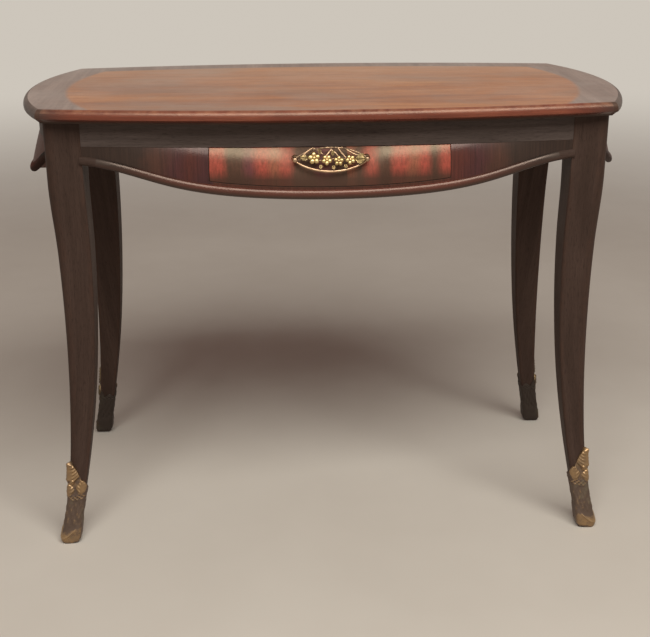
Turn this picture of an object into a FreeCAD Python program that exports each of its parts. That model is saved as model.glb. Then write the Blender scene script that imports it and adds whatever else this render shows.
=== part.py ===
# Writing table: bowed top, four curved legs in metal shoes, swelling aprons, one drawer in front.
# X runs along the front, -Y is the front, +Z is up; the origin is on the floor under the centre.
import FreeCAD, Part
import os
import Sketcher

doc = FreeCAD.newDocument("writing_table")

driving_sizes = {
    # whole table
    "table_height": 760,
    "top_length": 1010,
    "top_depth": 540,
    # top: each edge is an arc that rises by its bow between the corners
    "end_bow": 52,
    "front_bow": 40,
    "top_thickness": 22,
    "veneer_thickness": 1.5,
    "moulding_width": 34,
    "moulding_step": 2,
    "moulding_nose": 8,
    "border_width": 46,
    # legs: heights, inward set and width of the square section
    "leg_inset_end": 4,
    "leg_inset_front": 20,
    "leg_width": 56,
    "leg_round": 14,
    "leg_arris": 4,
    "knee_drop": 58,
    "calf_share": 0.69,
    "calf_set": 5.5,
    "calf_width": 51.5,
    "shin_share": 0.36,
    "shin_set": 7,
    "shin_width": 46,
    "ankle_height": 250,
    "ankle_set": 3.5,
    "ankle_width": 38.5,
    "cuff_height": 150,
    "cuff_flare": 3,
    "cuff_width": 32,
    "instep_height": 80,
    "instep_flare": 10.5,
    "instep_width": 28,
    "toe_height": 25,
    "toe_flare": 21,
    "toe_width": 28,
    "sole_flare": 24,
    "sole_width": 28,
    # metal shoes
    "shoe_wall": 3,
    "shoe_height": 160,
    "shoe_rake": 62,
    "pin_radius": 1.6,
    "pin_length": 14,
    "pin_proud": 1,
    # rails and aprons between the legs
    "reveal": 1,
    "rail_height": 40,
    "apron_thickness": 26,
    "apron_round": 100,
    "flank_drop": 58,
    "front_bulge": 44,
    "side_bulge": 57,
    "bead_end_drop": 24,
    "bead_mid_drop": 74,
    "bead_radius": 6,
    "tenon_setback": 7,
    "tenon_thickness": 12,
    "tenon_length": 26,
    "tenon_shoulder": 3,
    "mortise_gap": 0.5,
    # drawer and the pieces that carry it
    "drawer_width": 378,
    "drawer_gap": 1,
    "drawer_back_room": 64,
    "strip_height": 14,
    "drawer_board": 10,
    "bottom_board": 5,
    "bottom_lift": 4,
    "groove_depth": 5,
    "tail_length": 9,
    "tail_height": 11,
    "tail_flare": 2,
    "runner_height": 14,
    "runner_lap": 20,
    "guide_width": 16,
    "guide_height": 25,
    "housing_depth": 6,
    "stop_length": 18,
    "stop_height": 20,
    # pull and its fixings
    "pull_drop": 20,
    "pull_half": 56,
    "pull_rise": 19,
    "pull_standoff": 10,
    "stem_radius": 2.5,
    "post_radius": 5,
    "spray_half": 20,
    "spray_rise": 15,
    "spray_thickness": 3.5,
    "bolt_radius": 2,
    "nut_radius": 6,
    "nut_height": 4,
    # fixings of the top
    "screw_radius": 2,
    "screw_head_radius": 4,
    "screw_head_height": 3,
    "screw_bite": 12,
    "screw_spread": 150,
    "block_size": 14,
    "block_length": 60,
    "block_spread": 90,
}

sizes = doc.addObject("Spreadsheet::Sheet", "sizes")
for row, (name, size) in enumerate(driving_sizes.items(), start=1):
    sizes.set(f"A{row}", name)
    sizes.set(f"B{row}", str(size))
    sizes.setAlias(f"B{row}", name)
doc.recompute()

# Places worked out from the sizes, kept as expressions
corner_x = "(sizes.top_length / 2 - sizes.end_bow)"
corner_y = "(sizes.top_depth / 2 - sizes.front_bow)"
leg_x = f"({corner_x} - sizes.leg_inset_end)"
leg_y = f"({corner_y} - sizes.leg_inset_front)"
inner_x = f"({leg_x} - sizes.leg_width)"
inner_y = f"({leg_y} - sizes.leg_width)"
top_under = "(sizes.table_height - sizes.top_thickness)"
rail_under = f"({top_under} - sizes.rail_height)"
core_top = "(sizes.table_height - sizes.veneer_thickness)"
knee = f"({rail_under} - sizes.knee_drop)"
flank = f"({rail_under} - sizes.flank_drop)"
bead_end = f"({rail_under} - sizes.bead_end_drop)"
bead_mid = f"({rail_under} - sizes.bead_mid_drop)"
bead_droop = "(sizes.bead_mid_drop - sizes.bead_end_drop)"
front_face = f"({leg_y} - sizes.reveal)"
side_face = f"({leg_x} - sizes.reveal)"
drawer_half = "(sizes.drawer_width / 2)"
opening_half = f"({drawer_half} + sizes.drawer_gap)"

# The four sides: half the span between the legs, distance of the faces, swell and turn about Z
side_data = {
    "front": (inner_x, front_face, "sizes.front_bulge", 0),
    "right": (inner_y, side_face, "sizes.side_bulge", 90),
    "back": (inner_x, front_face, "sizes.front_bulge", 180),
    "left": (inner_y, side_face, "sizes.side_bulge", 270),
}


def value(expression):
    result = sizes.evalExpression(expression)
    return float(getattr(result, "Value", result))


def arc_radius(half_chord, rise):
    return f"((({half_chord})^2 + ({rise})^2) / (2 * abs({rise})))"


def arc_fall(half_chord, rise, across):
    # how far an arc has dropped from its crown at the given distance from the middle
    radius = arc_radius(half_chord, rise)
    return f"({radius} - sqrt({radius}^2 - ({across})^2))"


def new_body(label, turn=0):
    body = doc.addObject("PartDesign::Body", label)
    body.Label = label
    body.Placement.Rotation = FreeCAD.Rotation(FreeCAD.Vector(0, 0, 1), turn)
    return body


def new_sketch(body, name, plane, lift="0"):
    sketch = body.newObject("Sketcher::SketchObject", name)
    planes = [feature for feature in body.Origin.OriginFeatures if feature.Role == plane]
    sketch.AttachmentSupport = [(planes[0], "")]
    sketch.MapMode = "FlatFace"
    if lift != "0":
        sketch.setExpression("AttachmentOffset.Base.z", lift)
    return sketch


def bind(sketch, constraint, expression):
    index = sketch.addConstraint(constraint)
    sketch.setExpression(f"Constraints[{index}]", expression)


def pin_point(sketch, edge, end, across, along):
    # holds a point at its two coordinates; a plain "0" puts it on the axis
    for kind, axis, expression in (("DistanceX", -2, across), ("DistanceY", -1, along)):
        if expression == "0":
            sketch.addConstraint(Sketcher.Constraint("PointOnObject", edge, end, axis))
        else:
            bind(sketch, Sketcher.Constraint(kind, -1, 1, edge, end, value(expression)), expression)


def draw_outline(sketch, corners, bows=None):
    # closed outline, drawn counter-clockwise; an edge named in bows is an arc that rises outward,
    # or inward if its rise is negative
    bows = bows or {}
    points = [FreeCAD.Vector(value(across), value(along), 0) for across, along in corners]
    edges = []
    for number, start in enumerate(points):
        end = points[(number + 1) % len(points)]
        if number not in bows:
            edges.append((sketch.addGeometry(Part.LineSegment(start, end), False), 1, 2))
            continue
        rise = value(bows[number])
        outward = FreeCAD.Vector(end.y - start.y, start.x - end.x, 0).normalize()
        crown = (start + end) * 0.5 + outward * rise
        if rise > 0:
            edges.append((sketch.addGeometry(Part.Arc(start, crown, end), False), 1, 2))
        else:
            edges.append((sketch.addGeometry(Part.Arc(end, crown, start), False), 2, 1))
    for number, (edge, first, last) in enumerate(edges):
        following, following_first, following_last = edges[(number + 1) % len(edges)]
        sketch.addConstraint(Sketcher.Constraint("Coincident", edge, last, following, following_first))
    for number, (edge, first, last) in enumerate(edges):
        across, along = corners[number]
        pin_point(sketch, edge, first, across, along)
        if number in bows:
            next_across, next_along = corners[(number + 1) % len(corners)]
            half = f"(sqrt(({next_across} - {across})^2 + ({next_along} - {along})^2) / 2)"
            radius = arc_radius(half, bows[number])
            bind(sketch, Sketcher.Constraint("Radius", edge, value(radius)), radius)


def draw_circle(sketch, across, along, radius):
    centre = FreeCAD.Vector(value(across), value(along), 0)
    circle = Part.Circle(centre, FreeCAD.Vector(0, 0, 1), value(radius))
    edge = sketch.addGeometry(circle, False)
    pin_point(sketch, edge, 3, across, along)
    bind(sketch, Sketcher.Constraint("Radius", edge, value(radius)), radius)


def draw_axis(sketch, start, end):
    points = [FreeCAD.Vector(value(across), value(along), 0) for across, along in (start, end)]
    edge = sketch.addGeometry(Part.LineSegment(*points), True)
    pin_point(sketch, edge, 1, *start)
    pin_point(sketch, edge, 2, *end)


def rectangle(left, bottom, right, top):
    return [(left, bottom), (right, bottom), (right, top), (left, top)]


def rounded_square(outer, inner, front, back, outer_round, other_round):
    # square section with its outer front corner more rounded than the other three
    corners = [
        (inner, f"{front} + {other_round}"),
        (f"{inner} + {other_round}", front),
        (f"{outer} - {outer_round}", front),
        (outer, f"{front} + {outer_round}"),
        (outer, f"{back} - {other_round}"),
        (f"{outer} - {other_round}", back),
        (f"{inner} + {other_round}", back),
        (inner, f"{back} - {other_round}"),
    ]
    corner_rise = "(1 - sqrt(0.5))"
    bows = {number: f"({other_round} * {corner_rise})" for number in (0, 4, 6)}
    bows[2] = f"({outer_round} * {corner_rise})"
    return corners, bows


def extrude(body, kind, sketch, length=None, symmetric=False, reverse=False):
    feature = body.newObject(f"PartDesign::{kind}", f"{sketch.Name}_{kind.lower()}")
    feature.Profile = sketch
    if symmetric:
        feature.SideType = "Symmetric"
    feature.Reversed = reverse
    if length is None:
        feature.Type = "ThroughAll"
    else:
        feature.setExpression("Length", length)
    return feature


def turn_profile(body, kind, sketch, angle):
    feature = body.newObject(f"PartDesign::{kind}", f"{sketch.Name}_{kind.lower()}")
    feature.Profile = sketch
    feature.ReferenceAxis = (sketch, ["Axis0"])
    feature.Midplane = True
    feature.setExpression("Angle", angle)
    return feature


def loft(body, sketches):
    feature = body.newObject("PartDesign::AdditiveLoft", f"{body.Name}_loft")
    feature.Profile = sketches[0]
    feature.Sections = sketches[1:]
    return feature


def level_sketch(name, lift):
    sketch = doc.addObject("Sketcher::SketchObject", name)
    sketch.setExpression("Placement.Base.z", lift)
    return sketch


def lofted_body(label, sketches):
    # a body that starts from a loft of cubic curves, which stays even between far sections
    blank = doc.addObject("Part::Loft", f"{label}_loft")
    blank.Sections = sketches
    blank.Solid = True
    blank.MaxDegree = 3
    body = new_body(label)
    body.BaseFeature = blank
    return body


def place(piece, x="0", y="0", z="0"):
    for axis, expression in (("x", x), ("y", y), ("z", z)):
        piece.setExpression(f"Placement.Base.{axis}", expression)


def box(label, low, size):
    piece = doc.addObject("Part::Box", label)
    for side, expression in zip(("Length", "Width", "Height"), size):
        piece.setExpression(side, expression)
    place(piece, *low)
    return piece


def cylinder(label, radius, length, start, direction):
    piece = doc.addObject("Part::Cylinder", label)
    piece.setExpression("Radius", radius)
    piece.setExpression("Height", length)
    piece.Placement.Rotation = FreeCAD.Rotation(FreeCAD.Vector(0, 0, 1), FreeCAD.Vector(*direction))
    place(piece, *start)
    return piece


def group(label, pieces):
    together = doc.addObject("Part::Compound", label)
    together.Links = pieces
    return together


def cut(label, base, tool):
    result = doc.addObject("Part::Cut", label)
    result.Base = base
    result.Tool = tool
    return result


def common(label, base, tool):
    result = doc.addObject("Part::Common", label)
    result.Base = base
    result.Tool = tool
    return result


def fuse(label, pieces):
    result = doc.addObject("Part::MultiFuse", label)
    result.Shapes = pieces
    return result


def mirror(label, source, normal):
    result = doc.addObject("Part::Mirroring", label)
    result.Source = source
    result.Normal = FreeCAD.Vector(*normal)
    return result


nodes = {}


def keep(label, piece):
    piece.Label = label
    nodes[label] = piece
    return piece


# Top: core board, veneers and four mitred edge mouldings
end_radius = arc_radius(corner_y, "sizes.end_bow")
front_radius = arc_radius(corner_x, "sizes.front_bow")


def draw_bowed_outline(sketch, inset):
    # the outline of the top, moved inward; each arc keeps its centre on an axis
    across = value(corner_x) - value(inset)
    along = value(corner_y) - value(inset)
    half_depth = "(sizes.top_depth / 2)"
    half_length = "(sizes.top_length / 2)"
    bow_points = {
        "front": ((-across, -along), (0, value(inset) - value(half_depth)), (across, -along)),
        "right": ((across, -along), (value(half_length) - value(inset), 0), (across, along)),
        "back": ((across, along), (0, value(half_depth) - value(inset)), (-across, along)),
        "left": ((-across, along), (value(inset) - value(half_length), 0), (-across, -along)),
    }
    arcs = []
    for points in bow_points.values():
        arc = Part.Arc(*[FreeCAD.Vector(x, y, 0) for x, y in points])
        arcs.append(sketch.addGeometry(arc, False))
    for number, edge in enumerate(arcs):
        following = arcs[(number + 1) % len(arcs)]
        sketch.addConstraint(Sketcher.Constraint("Coincident", edge, 2, following, 1))
    centres = (
        ("0", f"({front_radius} - {half_depth})"),
        (f"({half_length} - {end_radius})", "0"),
        ("0", f"({half_depth} - {front_radius})"),
        (f"({end_radius} - {half_length})", "0"),
    )
    for edge, radius, (centre_x, centre_y) in zip(arcs, (front_radius, end_radius) * 2, centres):
        pin_point(sketch, edge, 3, centre_x, centre_y)
        inner_radius = f"({radius} - {inset})"
        bind(sketch, Sketcher.Constraint("Radius", edge, value(inner_radius)), inner_radius)


def bowed_board(label, lift, thickness):
    body = new_body(label)
    sketch = new_sketch(body, f"{label}_outline", "XY_Plane", lift)
    draw_bowed_outline(sketch, "sizes.moulding_width")
    extrude(body, "Pad", sketch, thickness)
    return body


def edge_moulding(side, half_chord, half_span, bow, mitre_point, turn):
    label = f"top_moulding_{side}"
    body = new_body(label, turn)
    profile = new_sketch(body, f"{label}_profile", "YZ_Plane")
    outer = f"(-{half_span} + sizes.moulding_nose)"
    inner = f"(-{half_span} + sizes.moulding_width)"
    corners = [
        (outer, top_under),
        (inner, top_under),
        (inner, "sizes.table_height"),
        (outer, "sizes.table_height"),
        (outer, nose_top),
    ]
    # the rounded nose is drawn as five flats
    for out, up in ((0.6, 0.9), (1, 0.65), (1, 0.35), (0.6, 0.1)):
        flat_y = f"({outer} - {out} * sizes.moulding_nose)"
        corners.append((flat_y, f"({top_under} + {up} * ({nose_top} - {top_under}))"))
    draw_outline(profile, corners)
    radius = arc_radius(half_chord, bow)
    axis_place = f"({radius} - {half_span})"
    draw_axis(profile, (axis_place, top_under), (axis_place, "sizes.table_height"))
    overrun = 1.15
    turn_profile(body, "Revolution", profile, f"2 * {overrun} * asin({half_chord} / {radius})")
    # both ends are cut off along the lines that halve the corner angles
    mitre_x, mitre_y = mitre_point
    reach = 1.5
    corner = (half_chord, f"(-{half_span} + {bow})")
    end_x = f"({mitre_x} + {reach} * ({corner[0]} - {mitre_x}))"
    end_y = f"({mitre_y} + {reach} * ({corner[1]} - {mitre_y}))"
    waste = "sizes.top_length"
    mitres = new_sketch(body, f"{label}_mitres", "XY_Plane")
    draw_outline(mitres, [(mitre_x, mitre_y), (end_x, end_y), (waste, end_y), (waste, mitre_y)])
    draw_outline(mitres, [
        (f"-{mitre_x}" if mitre_x != "0" else "0", mitre_y),
        (f"-{waste}", mitre_y),
        (f"-{waste}", end_y),
        (f"-{end_x}", end_y),
    ])
    extrude(body, "Pocket", mitres, symmetric=True)
    keep(label, body)


nose_top = "(sizes.table_height - sizes.moulding_step)"
front_slope = f"(2 * atan(sizes.front_bow / {corner_x}))"
end_slope = f"(2 * atan(sizes.end_bow / {corner_y}))"
mitre_run = f"({corner_x} - {corner_y} / tan((90 deg - {front_slope} + {end_slope}) / 2))"
for side, turn in (("front", 0), ("back", 180)):
    edge_moulding(side, corner_x, "(sizes.top_depth / 2)", "sizes.front_bow", (mitre_run, "0"), turn)
for side, turn in (("right", 90), ("left", 270)):
    edge_moulding(side, corner_y, "(sizes.top_length / 2)", "sizes.end_bow", ("0", f"-{mitre_run}"), turn)

core_board = bowed_board("top_core_board", top_under, f"{core_top} - {top_under}")
veneer_sheet = bowed_board("top_veneer_sheet", core_top, "sizes.veneer_thickness")
field_half = "(sizes.top_length / 2 - sizes.moulding_width - sizes.border_width)"
veneer_places = {
    "top_field": (f"-{field_half}", f"2 * {field_half}"),
    "top_border_left": (f"-{field_half} - sizes.top_length", "sizes.top_length"),
    "top_border_right": (field_half, "sizes.top_length"),
}
for label, (start, length) in veneer_places.items():
    low = (start, "-sizes.top_depth", core_top)
    region = box(f"{label}_region", low, (length, "2 * sizes.top_depth", "sizes.veneer_thickness"))
    keep(label, common(label, veneer_sheet, region))

# Legs and metal shoes: the front right one is made, the others are its mirror images
calf_height = f"(sizes.ankle_height + sizes.calf_share * ({knee} - sizes.ankle_height))"
shin_height = f"(sizes.ankle_height + sizes.shin_share * ({knee} - sizes.ankle_height))"
leg_sections = {
    "sole": ("sizes.shoe_wall", "(-sizes.sole_flare)", "sizes.sole_width"),
    "toe": ("sizes.toe_height", "(-sizes.toe_flare)", "sizes.toe_width"),
    "instep": ("sizes.instep_height", "(-sizes.instep_flare)", "sizes.instep_width"),
    "cuff": ("sizes.cuff_height", "(-sizes.cuff_flare)", "sizes.cuff_width"),
    "ankle": ("sizes.ankle_height", "sizes.ankle_set", "sizes.ankle_width"),
    "shin": (shin_height, "sizes.shin_set", "sizes.shin_width"),
    "calf": (calf_height, "sizes.calf_set", "sizes.calf_width"),
    "knee": (knee, "0", "sizes.leg_width"),
}


def draw_leg_section(sketch, inward, width, skin="0"):
    outer = f"({leg_x} - {inward} + {skin})"
    front = f"(-({leg_y} - {inward} + {skin}))"
    span = f"({width} + 2 * {skin})"
    round_outer = f"(sizes.leg_round * {width} / sizes.leg_width + {skin})"
    round_other = f"(sizes.leg_arris + {skin})"
    corners, bows = rounded_square(
        outer, f"({outer} - {span})", front, f"({front} + {span})", round_outer, round_other)
    draw_outline(sketch, corners, bows)


def leg_levels(name, sections, skin="0"):
    sketches = []
    for level, (height, inward, width) in sections.items():
        sketch = level_sketch(f"{name}_{level}", height)
        draw_leg_section(sketch, inward, width, skin)
        sketches.append(sketch)
    return sketches


# Heights of the tenons, shared by rails, aprons and the mortises in the legs
tenon_heights = {
    "rail": (f"({rail_under} + sizes.tenon_shoulder)", f"({top_under} - sizes.tenon_shoulder)"),
    "apron": (
        f"({bead_end} + sizes.bead_radius + sizes.tenon_shoulder)", f"({rail_under} - sizes.tenon_shoulder)"),
}

leg_body = lofted_body("leg_blank", leg_levels("leg", leg_sections))
knee_height, knee_set, knee_width = leg_sections["knee"]
block = new_sketch(leg_body, "leg_block", "XY_Plane", knee_height)
draw_leg_section(block, knee_set, knee_width)
extrude(leg_body, "Pad", block, f"{top_under} - {knee}")
mortise_depth = "sizes.tenon_length + sizes.mortise_gap"
for name, (low, high) in tenon_heights.items():
    near_x = f"({side_face} - sizes.tenon_setback)"
    near_y = f"({front_face} - sizes.tenon_setback)"
    across_y = new_sketch(leg_body, f"mortise_front_{name}", "YZ_Plane", inner_x)
    draw_outline(across_y, rectangle(f"-{near_y}", low, f"-{near_y} + sizes.tenon_thickness", high))
    extrude(leg_body, "Pocket", across_y, mortise_depth, reverse=True)
    across_x = new_sketch(leg_body, f"mortise_side_{name}", "XZ_Plane", inner_y)
    draw_outline(across_x, rectangle(f"{near_x} - sizes.tenon_thickness", low, near_x, high))
    extrude(leg_body, "Pocket", across_x, mortise_depth, reverse=True)

ground = ("0", "(-sizes.sole_flare)", "sizes.sole_width")
shoe_sections = {"ground": ground}
shoe_sections.update({name: leg_sections[name] for name in ("toe", "instep", "cuff", "ankle")})
shoe_body = lofted_body("shoe_blank", leg_levels("shoe", shoe_sections, "sizes.shoe_wall"))
# the shoe is highest at the leg's outer corner and falls away inward along the diagonal
rake = new_sketch(shoe_body, "shoe_rake_cut", "XY_Plane")
rake_turn = FreeCAD.Rotation(FreeCAD.Vector(1, 1, 0), -value("sizes.shoe_rake"))
rake.AttachmentOffset = FreeCAD.Placement(FreeCAD.Vector(0, 0, 0), rake_turn)
rake.setExpression("AttachmentOffset.Base.x", f"{leg_x} + sizes.cuff_flare")
rake.setExpression("AttachmentOffset.Base.y", f"-({leg_y} + sizes.cuff_flare)")
rake.setExpression("AttachmentOffset.Base.z", "sizes.shoe_height")
rake.setExpression("AttachmentOffset.Rotation.Angle", "-sizes.shoe_rake")
rake_reach = "(4 * sizes.ankle_height)"
draw_outline(rake, rectangle(f"-{rake_reach}", f"-{rake_reach}", rake_reach, rake_reach))
extrude(shoe_body, "Pocket", rake, rake_reach, reverse=True)

# Two pins hold each shoe, one through each outer face
pin_middle = "(sizes.instep_width / 2)"
shoe_face_x = f"({leg_x} + sizes.instep_flare + sizes.shoe_wall + sizes.pin_proud)"
shoe_face_y = f"({leg_y} + sizes.instep_flare + sizes.shoe_wall + sizes.pin_proud)"
pin_x = f"({leg_x} + sizes.instep_flare - {pin_middle})"
pin_y = f"({leg_y} + sizes.instep_flare - {pin_middle})"
corner_pins = {}
for corner, (sign_x, sign_y) in {
    "front_right": (1, -1), "front_left": (-1, -1), "back_right": (1, 1), "back_left": (-1, 1),
}.items():
    starts = {
        "side": (f"{sign_x} * {shoe_face_x}", f"{sign_y} * {pin_y}", "sizes.instep_height"),
        "face": (f"{sign_x} * {pin_x}", f"{sign_y} * {shoe_face_y}", "sizes.instep_height"),
    }
    inward = {"side": (-sign_x, 0, 0), "face": (0, -sign_y, 0)}
    corner_pins[corner] = [
        cylinder(f"pin_{corner}_{name}", "sizes.pin_radius", "sizes.pin_length", start, inward[name])
        for name, start in starts.items()
    ]
keep("shoe_pins", group("shoe_pins", [pin for pins in corner_pins.values() for pin in pins]))

first_pins = group("first_pins", corner_pins["front_right"])
first_leg = cut("leg_front_right", leg_body, first_pins)
hollow_shoe = cut("shoe_hollow", shoe_body, leg_body)
first_shoe = cut("shoe_front_right", hollow_shoe, first_pins)
for kind, first in (("leg", first_leg), ("shoe", first_shoe)):
    keep(f"{kind}_front_right", first)
    keep(f"{kind}_front_left", mirror(f"{kind}_front_left", first, (1, 0, 0)))
    keep(f"{kind}_back_right", mirror(f"{kind}_back_right", first, (0, 1, 0)))
    keep(f"{kind}_back_left", mirror(f"{kind}_back_left", nodes[f"{kind}_front_left"], (0, 1, 0)))


# Rails and aprons: every level is an arc between the same two end lines
def swell(bulge, height):
    return f"({bulge} - sizes.apron_round + sqrt(sizes.apron_round^2 - ({height} - {flank})^2))"


def bowed_section(body, name, lift, half, face, rise):
    sketch = new_sketch(body, name, "XY_Plane", lift)
    corners = rectangle(f"-{half}", f"-{face}", half, f"-{face} + sizes.apron_thickness")
    draw_outline(sketch, corners, {0: rise})
    return sketch


def add_tenons(body, name, kind, half, face):
    low, high = tenon_heights[kind]
    sketch = new_sketch(body, f"{name}_tenons", "YZ_Plane")
    near = f"-{face} + sizes.tenon_setback"
    draw_outline(sketch, rectangle(near, low, f"{near} + sizes.tenon_thickness", high))
    extrude(body, "Pad", sketch, f"2 * ({half} + sizes.tenon_length)", symmetric=True)


def add_housings(body, name, face, low, high, inner_edge, outer_edge):
    # sinkings in the back face that take the ends of the pieces running from front to back
    sketch = new_sketch(body, f"{name}_housings", "XZ_Plane", f"{face} - sizes.apron_thickness")
    draw_outline(sketch, rectangle(inner_edge, low, outer_edge, high))
    draw_outline(sketch, rectangle(f"-{outer_edge}", low, f"-{inner_edge}", high))
    extrude(body, "Pocket", sketch, "sizes.housing_depth", reverse=True)


def draw_bead(sketch, half, face, bulge):
    # round section of the bead at mid span and the axis of its tilted arc, which stands out from the
    # face at mid span and comes flush with it at the legs
    reach = f"({bulge} + sizes.bead_radius)"
    span = f"sqrt({reach}^2 + {bead_droop}^2)"
    radius = arc_radius(half, span)
    middle_y = f"(-{face} - {bulge})"
    axis_y = f"({middle_y} + {radius} * {reach} / {span})"
    axis_z = f"({bead_mid} + {radius} * {bead_droop} / {span})"
    draw_circle(sketch, middle_y, bead_mid, "sizes.bead_radius")
    draw_axis(sketch, (axis_y, axis_z), (f"({axis_y} + {bead_droop})", f"({axis_z} - {reach})"))
    overrun = 1.1
    return f"2 * {overrun} * asin({half} / {radius})"


def bombe_blank(label, half, face, bulge, turn):
    body = new_body(label, turn)
    lowest = f"({bead_mid} - 2 * sizes.bead_radius)"
    levels = [(lowest, bulge), (flank, bulge)]
    for share in (0.4, 0.75, 1):
        height = f"({flank} + {share} * sizes.flank_drop)"
        levels.append((height, swell(bulge, height)))
    outlines = [
        bowed_section(body, f"{label}_level_{number}", height, half, face, rise)
        for number, (height, rise) in enumerate(levels)
    ]
    loft(body, outlines)
    return body


runner_top = f"({bead_mid} + {arc_fall(inner_x, bead_droop, drawer_half)} + sizes.strip_height)"
runner_inner = f"({drawer_half} - sizes.runner_lap)"
runner_outer = f"({opening_half} + sizes.guide_width)"
runner_low = f"({runner_top} - sizes.runner_height)"
strip_mid = f"({bead_mid} + sizes.strip_height)"


def drawer_gate(half, grow, low_lift, top):
    # outline of the drawer front or of its opening: straight ends and an arc below
    fall = arc_fall(inner_x, bead_droop, half)
    low = f"({strip_mid} + {fall} + {low_lift})"
    corners = rectangle(f"-{half}", low, half, f"({top} + {grow})")
    return corners, {0: fall}


for side, (half, face, bulge, turn) in side_data.items():
    rail_name = f"rail_{side}"
    rail = new_body(rail_name, turn)
    outline = bowed_section(rail, f"{rail_name}_outline", rail_under, half, face, swell(bulge, rail_under))
    extrude(rail, "Pad", outline, "sizes.rail_height")
    add_tenons(rail, rail_name, "rail", half, face)

    apron_name = f"apron_{side}"
    apron = bombe_blank(apron_name, half, face, bulge, turn)
    lower = new_sketch(apron, f"{apron_name}_lower_edge", "XZ_Plane")
    waste_low = f"({bead_mid} - 4 * sizes.bead_radius)"
    draw_outline(lower, rectangle(f"-{half}", waste_low, half, bead_end), {2: f"(-{bead_droop})"})
    extrude(apron, "Pocket", lower, symmetric=True)
    seat = new_sketch(apron, f"{apron_name}_bead_seat", "YZ_Plane")
    turn_profile(apron, "Groove", seat, draw_bead(seat, half, face, bulge))
    add_tenons(apron, apron_name, "apron", half, face)

    if side in ("front", "back"):
        add_housings(rail, rail_name, face, rail_under, top_under, runner_inner, runner_outer)
        add_housings(apron, apron_name, face, runner_low, runner_top, runner_inner, runner_outer)
    if side == "front":
        opening = new_sketch(apron, "drawer_opening", "XZ_Plane")
        draw_outline(opening, *drawer_gate(opening_half, "sizes.rail_height", "0", rail_under))
        extrude(apron, "Pocket", opening, symmetric=True)
    keep(rail_name, rail)
    keep(apron_name, apron)

    bead_name = f"bead_{side}"
    bead = new_body(bead_name, turn)
    bead_section = new_sketch(bead, f"{bead_name}_section", "YZ_Plane")
    turn_profile(bead, "Revolution", bead_section, draw_bead(bead_section, half, face, bulge))
    bead_ends = new_sketch(bead, f"{bead_name}_ends", "XZ_Plane")
    draw_outline(bead_ends, rectangle(half, "0", f"2 * {half}", rail_under))
    draw_outline(bead_ends, rectangle(f"-2 * {half}", "0", f"-{half}", rail_under))
    extrude(bead, "Pocket", bead_ends, symmetric=True)
    keep(bead_name, bead)

# Pieces that carry and guide the drawer, on either side of it
back_inside = f"({front_face} - sizes.apron_thickness + sizes.housing_depth)"
carcase_run = f"2 * {back_inside}"
clear_back = f"({front_face} - sizes.apron_thickness)"
drawer_back_end = f"({clear_back} - sizes.drawer_back_room)"
runner_span = f"{runner_outer} - {runner_inner}"
stops = []
screws = []
kicker_blanks = {}
for side, sign in (("left", -1), ("right", 1)):
    edge = runner_inner if sign > 0 else f"-{runner_outer}"
    runner_size = (runner_span, carcase_run, "sizes.runner_height")
    keep(f"runner_{side}", box(f"runner_{side}", (edge, f"-{back_inside}", runner_low), runner_size))
    guide_edge = opening_half if sign > 0 else f"-{runner_outer}"
    guide_low = (guide_edge, f"-{clear_back}", runner_top)
    guide_size = ("sizes.guide_width", f"2 * {clear_back}", "sizes.guide_height")
    keep(f"guide_{side}", box(f"guide_{side}", guide_low, guide_size))
    kicker_size = (runner_span, carcase_run, "sizes.rail_height")
    kicker_blanks[side] = box(f"kicker_{side}_blank", (edge, f"-{back_inside}", rail_under), kicker_size)
    stop_edge = runner_inner if sign > 0 else f"-{opening_half}"
    stop_low = (stop_edge, f"{drawer_back_end} + sizes.drawer_gap", runner_top)
    stop_size = (f"{opening_half} - {runner_inner}", "sizes.stop_length", "sizes.stop_height")
    stops.append(box(f"stop_{side}", stop_low, stop_size))
    for end in (-1, 1):
        screw_x = f"{sign} * ({runner_inner} + {runner_outer}) / 2"
        screw_y = f"{end} * sizes.screw_spread"
        start = (screw_x, screw_y, rail_under)
        shank_length = "sizes.rail_height + sizes.screw_bite"
        name = f"screw_{side}_{'front' if end < 0 else 'back'}"
        shank = cylinder(f"{name}_shank", "sizes.screw_radius", shank_length, start, (0, 0, 1))
        head = cylinder(
            f"{name}_head", "sizes.screw_head_radius", "sizes.screw_head_height", start, (0, 0, 1))
        screws.append(fuse(name, [shank, head]))
keep("drawer_stops", group("drawer_stops", stops))
keep("top_screws", group("top_screws", screws))
for side, blank in kicker_blanks.items():
    keep(f"kicker_{side}", cut(f"kicker_{side}", blank, nodes["top_screws"]))
keep("top_core", cut("top_core", core_board, nodes["top_screws"]))

# Glue blocks in the angle between the rails and the top
blocks = []
block_low = f"({top_under} - sizes.block_size)"
for sign in (-1, 1):
    along_back = (f"{sign} * sizes.block_spread - sizes.block_length / 2", f"{clear_back} - sizes.block_size")
    back_size = ("sizes.block_length", "sizes.block_size", "sizes.block_size")
    blocks.append(box(f"block_back_{sign + 2}", (*along_back, block_low), back_size))
    side_inside = f"({side_face} - sizes.apron_thickness)"
    for end in (-1, 1):
        edge = f"{side_inside} - sizes.block_size" if sign > 0 else f"-{side_inside}"
        low = (edge, f"{end} * sizes.block_spread - sizes.block_length / 2", block_low)
        side_size = ("sizes.block_size", "sizes.block_length", "sizes.block_size")
        blocks.append(box(f"block_side_{sign + 2}_{end + 2}", low, side_size))
keep("glue_blocks", group("glue_blocks", blocks))

# Drawer box: dovetailed sides, back and a bottom in grooves
side_low = f"({runner_top} + sizes.drawer_gap)"
side_high = f"({rail_under} - 2 * sizes.drawer_gap)"
bottom_low = f"({side_low} + sizes.bottom_lift)"
bottom_high = f"({bottom_low} + sizes.bottom_board)"
box_front = f"(-{front_face})"
side_inner = f"({drawer_half} - sizes.drawer_board)"
tail_count = 2

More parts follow.
